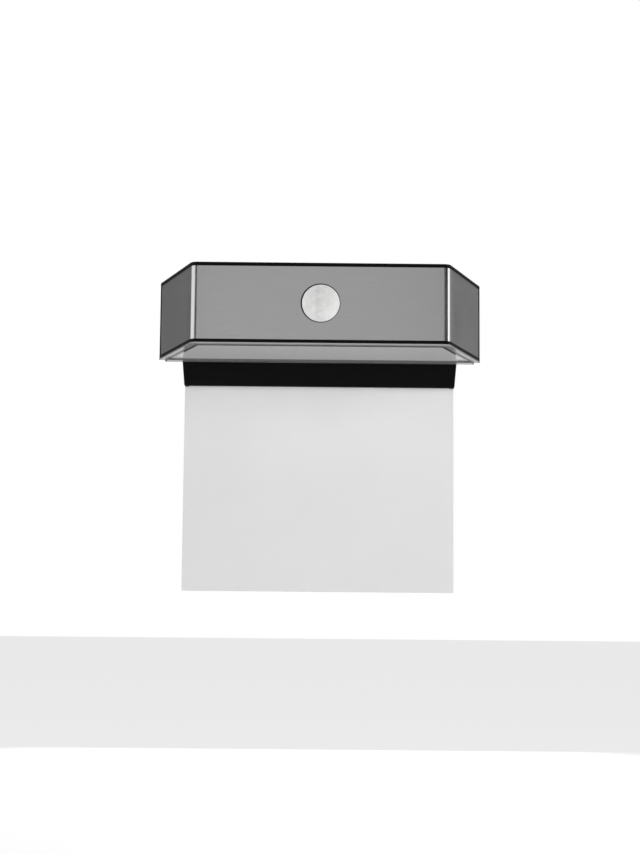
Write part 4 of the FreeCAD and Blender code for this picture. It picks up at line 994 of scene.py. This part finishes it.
def softbox(name, azimuth, elevation, power, distance=1.5, width=0.9, height=1.5):
    """Large soft lamp aimed at the head, seen by matt surfaces only."""
    lamp = bpy.data.lights.new(name, "AREA")
    lamp.shape, lamp.size, lamp.size_y, lamp.energy = "RECTANGLE", width, height, power
    piece = bpy.data.objects.new(name, lamp)
    bpy.context.collection.objects.link(piece)
    a, e = math.radians(azimuth), math.radians(elevation)
    back = Vector((math.cos(e) * math.sin(a), -math.cos(e) * math.cos(a), math.sin(e)))
    side = Vector((0, 0, 1)).cross(back).normalized()
    up = back.cross(side)
    piece.matrix_world = Matrix((side, up, back)).transposed().to_4x4()
    piece.matrix_world.translation = back * distance
    piece.visible_glossy = False
    piece.visible_camera = False


def camera():
    """Camera turned by yaw, then pitch, then roll from looking straight at the wall."""
    values = stage_values()
    lens = bpy.data.cameras.new("front_camera")
    lens.lens, lens.sensor_width, lens.sensor_fit = values.focal, 36.0, "AUTO"
    lens.clip_start = 0.01
    piece = bpy.data.objects.new("front_camera", lens)
    bpy.context.collection.objects.link(piece)
    turn = Matrix.Rotation(values.yaw, 3, "Z") @ Matrix.Rotation(math.pi / 2 + values.pitch, 3, "X")
    piece.matrix_world = (turn @ Matrix.Rotation(values.roll, 3, "Z")).to_4x4()
    piece.matrix_world.translation = values.eye
    bpy.context.scene.camera = piece


# ---------------------------------------------------------------- operators
class FENCELIGHT_OT_stage(bpy.types.Operator):
    """Sets up the camera, the white room, the floor and the lamps."""
    bl_idname = "fence_light.stage"
    bl_label = "Studio and camera"

    def execute(self, context):
        camera()
        white_room()
        pale_floor()
        reflector_screen()
        softbox("left_softbox", -40, 6, stage_values().left, 1.5, 0.8, 0.9)
        softbox("right_softbox", 42, 6, stage_values().right, 1.3, 0.8, 0.9)
        softbox("low_softbox", 0, -11, stage_values().low, 1.4, 1.2, 0.2)
        softbox("back_softbox", 180, 14, stage_values().back)
        context.scene.view_settings.view_transform = "Standard"
        return {"FINISHED"}


class PieceStep:
    """What the steps below share: each piece is made and put in its CAD node's place."""

    def execute(self, context):
        for make, node in self.pieces:
            put_on(make(), node)
        return {"FINISHED"}


class FENCELIGHT_OT_steel_wrap(PieceStep, bpy.types.Operator):
    """Folds the brushed steel wrap round the head."""
    bl_idname = "fence_light.steel_wrap"
    bl_label = "Steel wrap"
    pieces = [(steel_wrap, "steel_band")]


class FENCELIGHT_OT_sensor_dome(PieceStep, bpy.types.Operator):
    """Moulds the faceted dome of the motion sensor."""
    bl_idname = "fence_light.sensor_dome"
    bl_label = "Sensor dome"
    pieces = [(sensor_dome, "sensor_lens")]


class FENCELIGHT_OT_number_panel(PieceStep, bpy.types.Operator):
    """Cuts the opal number panel with its tongue and rounded edges."""
    bl_idname = "fence_light.number_panel"
    bl_label = "Number panel"
    pieces = [(number_panel, "number_panel")]


class FENCELIGHT_OT_solar_module(PieceStep, bpy.types.Operator):
    """Lays the silicon strips and the glass pane over them."""
    bl_idname = "fence_light.solar_module"
    bl_label = "Solar module"
    pieces = [(solar_pane, "solar_glass"), (silicon_strips, "solar_cells")]


class FENCELIGHT_OT_mode_knob(PieceStep, bpy.types.Operator):
    """Shapes the ridged slide knob behind the head."""
    bl_idname = "fence_light.mode_knob"
    bl_label = "Mode knob"
    pieces = [(ridged_knob, "mode_knob")]


class FENCELIGHT_OT_screws(bpy.types.Operator):
    """Turns the threaded screws of every set, with their cross recesses."""
    bl_idname = "fence_light.screws"
    bl_label = "Screws"

    def execute(self, context):
        for node, axis, sign in SCREW_SETS:
            put_on(screw_set(node, axis, sign), node)
        return {"FINISHED"}


class FENCELIGHT_OT_power_parts(PieceStep, bpy.types.Operator):
    """Turns the round cell and the capacitor cans."""
    bl_idname = "fence_light.power_parts"
    bl_label = "Cell and capacitors"
    pieces = [(round_cell, "battery"), (capacitor_cans, "control_capacitors")]


class FENCELIGHT_OT_finishes(bpy.types.Operator):
    """Gives every carried-over solid the finish of its slot."""
    bl_idname = "fence_light.finishes"
    bl_label = "Finishes"

    def execute(self, context):
        for name, piece in frame["nodes"].items():
            if piece.hide_render:
                continue
            finish = finish_for(OWN_FINISH.get(name, slot_of(name)))
            if not piece.material_slots:
                piece.data.materials.append(finish)
            for place_for in piece.material_slots:
                place_for.material = finish
        return {"FINISHED"}


OWN_FINISH = {"diffuser_trim": "trim_plastic", "solar_backing": "module_board"}
SCREW_SETS = [("frame_screws", 2, 1), ("rear_screws", 1, -1), ("light_screws", 2, 1), ("board_screws", 2, -1),
              ("sensor_screws", 1, -1), ("switch_screws", 1, 1), ("clamp_screws", 1, -1)]


class FENCELIGHT_PT_panel(bpy.types.Panel):
    """Sizes, colours and the steps that make the light."""
    bl_idname = "FENCELIGHT_PT_panel"
    bl_label = "Fence light"
    bl_space_type = "VIEW_3D"
    bl_region_type = "UI"
    bl_category = "Fence light"

    def draw(self, context):
        for step in STEPS:
            self.layout.operator(step.bl_idname)
        for group in ("fence_light_sizes", "fence_light_colours", "fence_light_stage"):
            values = getattr(context.scene, group)
            box = self.layout.box()
            for name in values.__annotations__:
                box.prop(values, name)


GROUPS = {"fence_light_sizes": FenceLightSizes, "fence_light_colours": FenceLightColours,
          "fence_light_stage": FenceLightStage}
STEPS = [FENCELIGHT_OT_stage, FENCELIGHT_OT_steel_wrap, FENCELIGHT_OT_sensor_dome, FENCELIGHT_OT_number_panel,
         FENCELIGHT_OT_solar_module, FENCELIGHT_OT_mode_knob, FENCELIGHT_OT_screws, FENCELIGHT_OT_power_parts,
         FENCELIGHT_OT_finishes]


def register():
    for name, group in GROUPS.items():
        bpy.utils.register_class(group)
        setattr(bpy.types.Scene, name, PointerProperty(type=group))
    for item in STEPS + [FENCELIGHT_PT_panel]:
        bpy.utils.register_class(item)


def unregister():
    for item in reversed(STEPS + [FENCELIGHT_PT_panel]):
        bpy.utils.unregister_class(item)
    for name, group in reversed(list(GROUPS.items())):
        delattr(bpy.types.Scene, name)
        bpy.utils.unregister_class(group)


def main():
    """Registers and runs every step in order."""
    register()
    for step in STEPS:
        family, name = step.bl_idname.split(".")
        getattr(getattr(bpy.ops, family), name)()


if __name__ == "__main__":
    main()
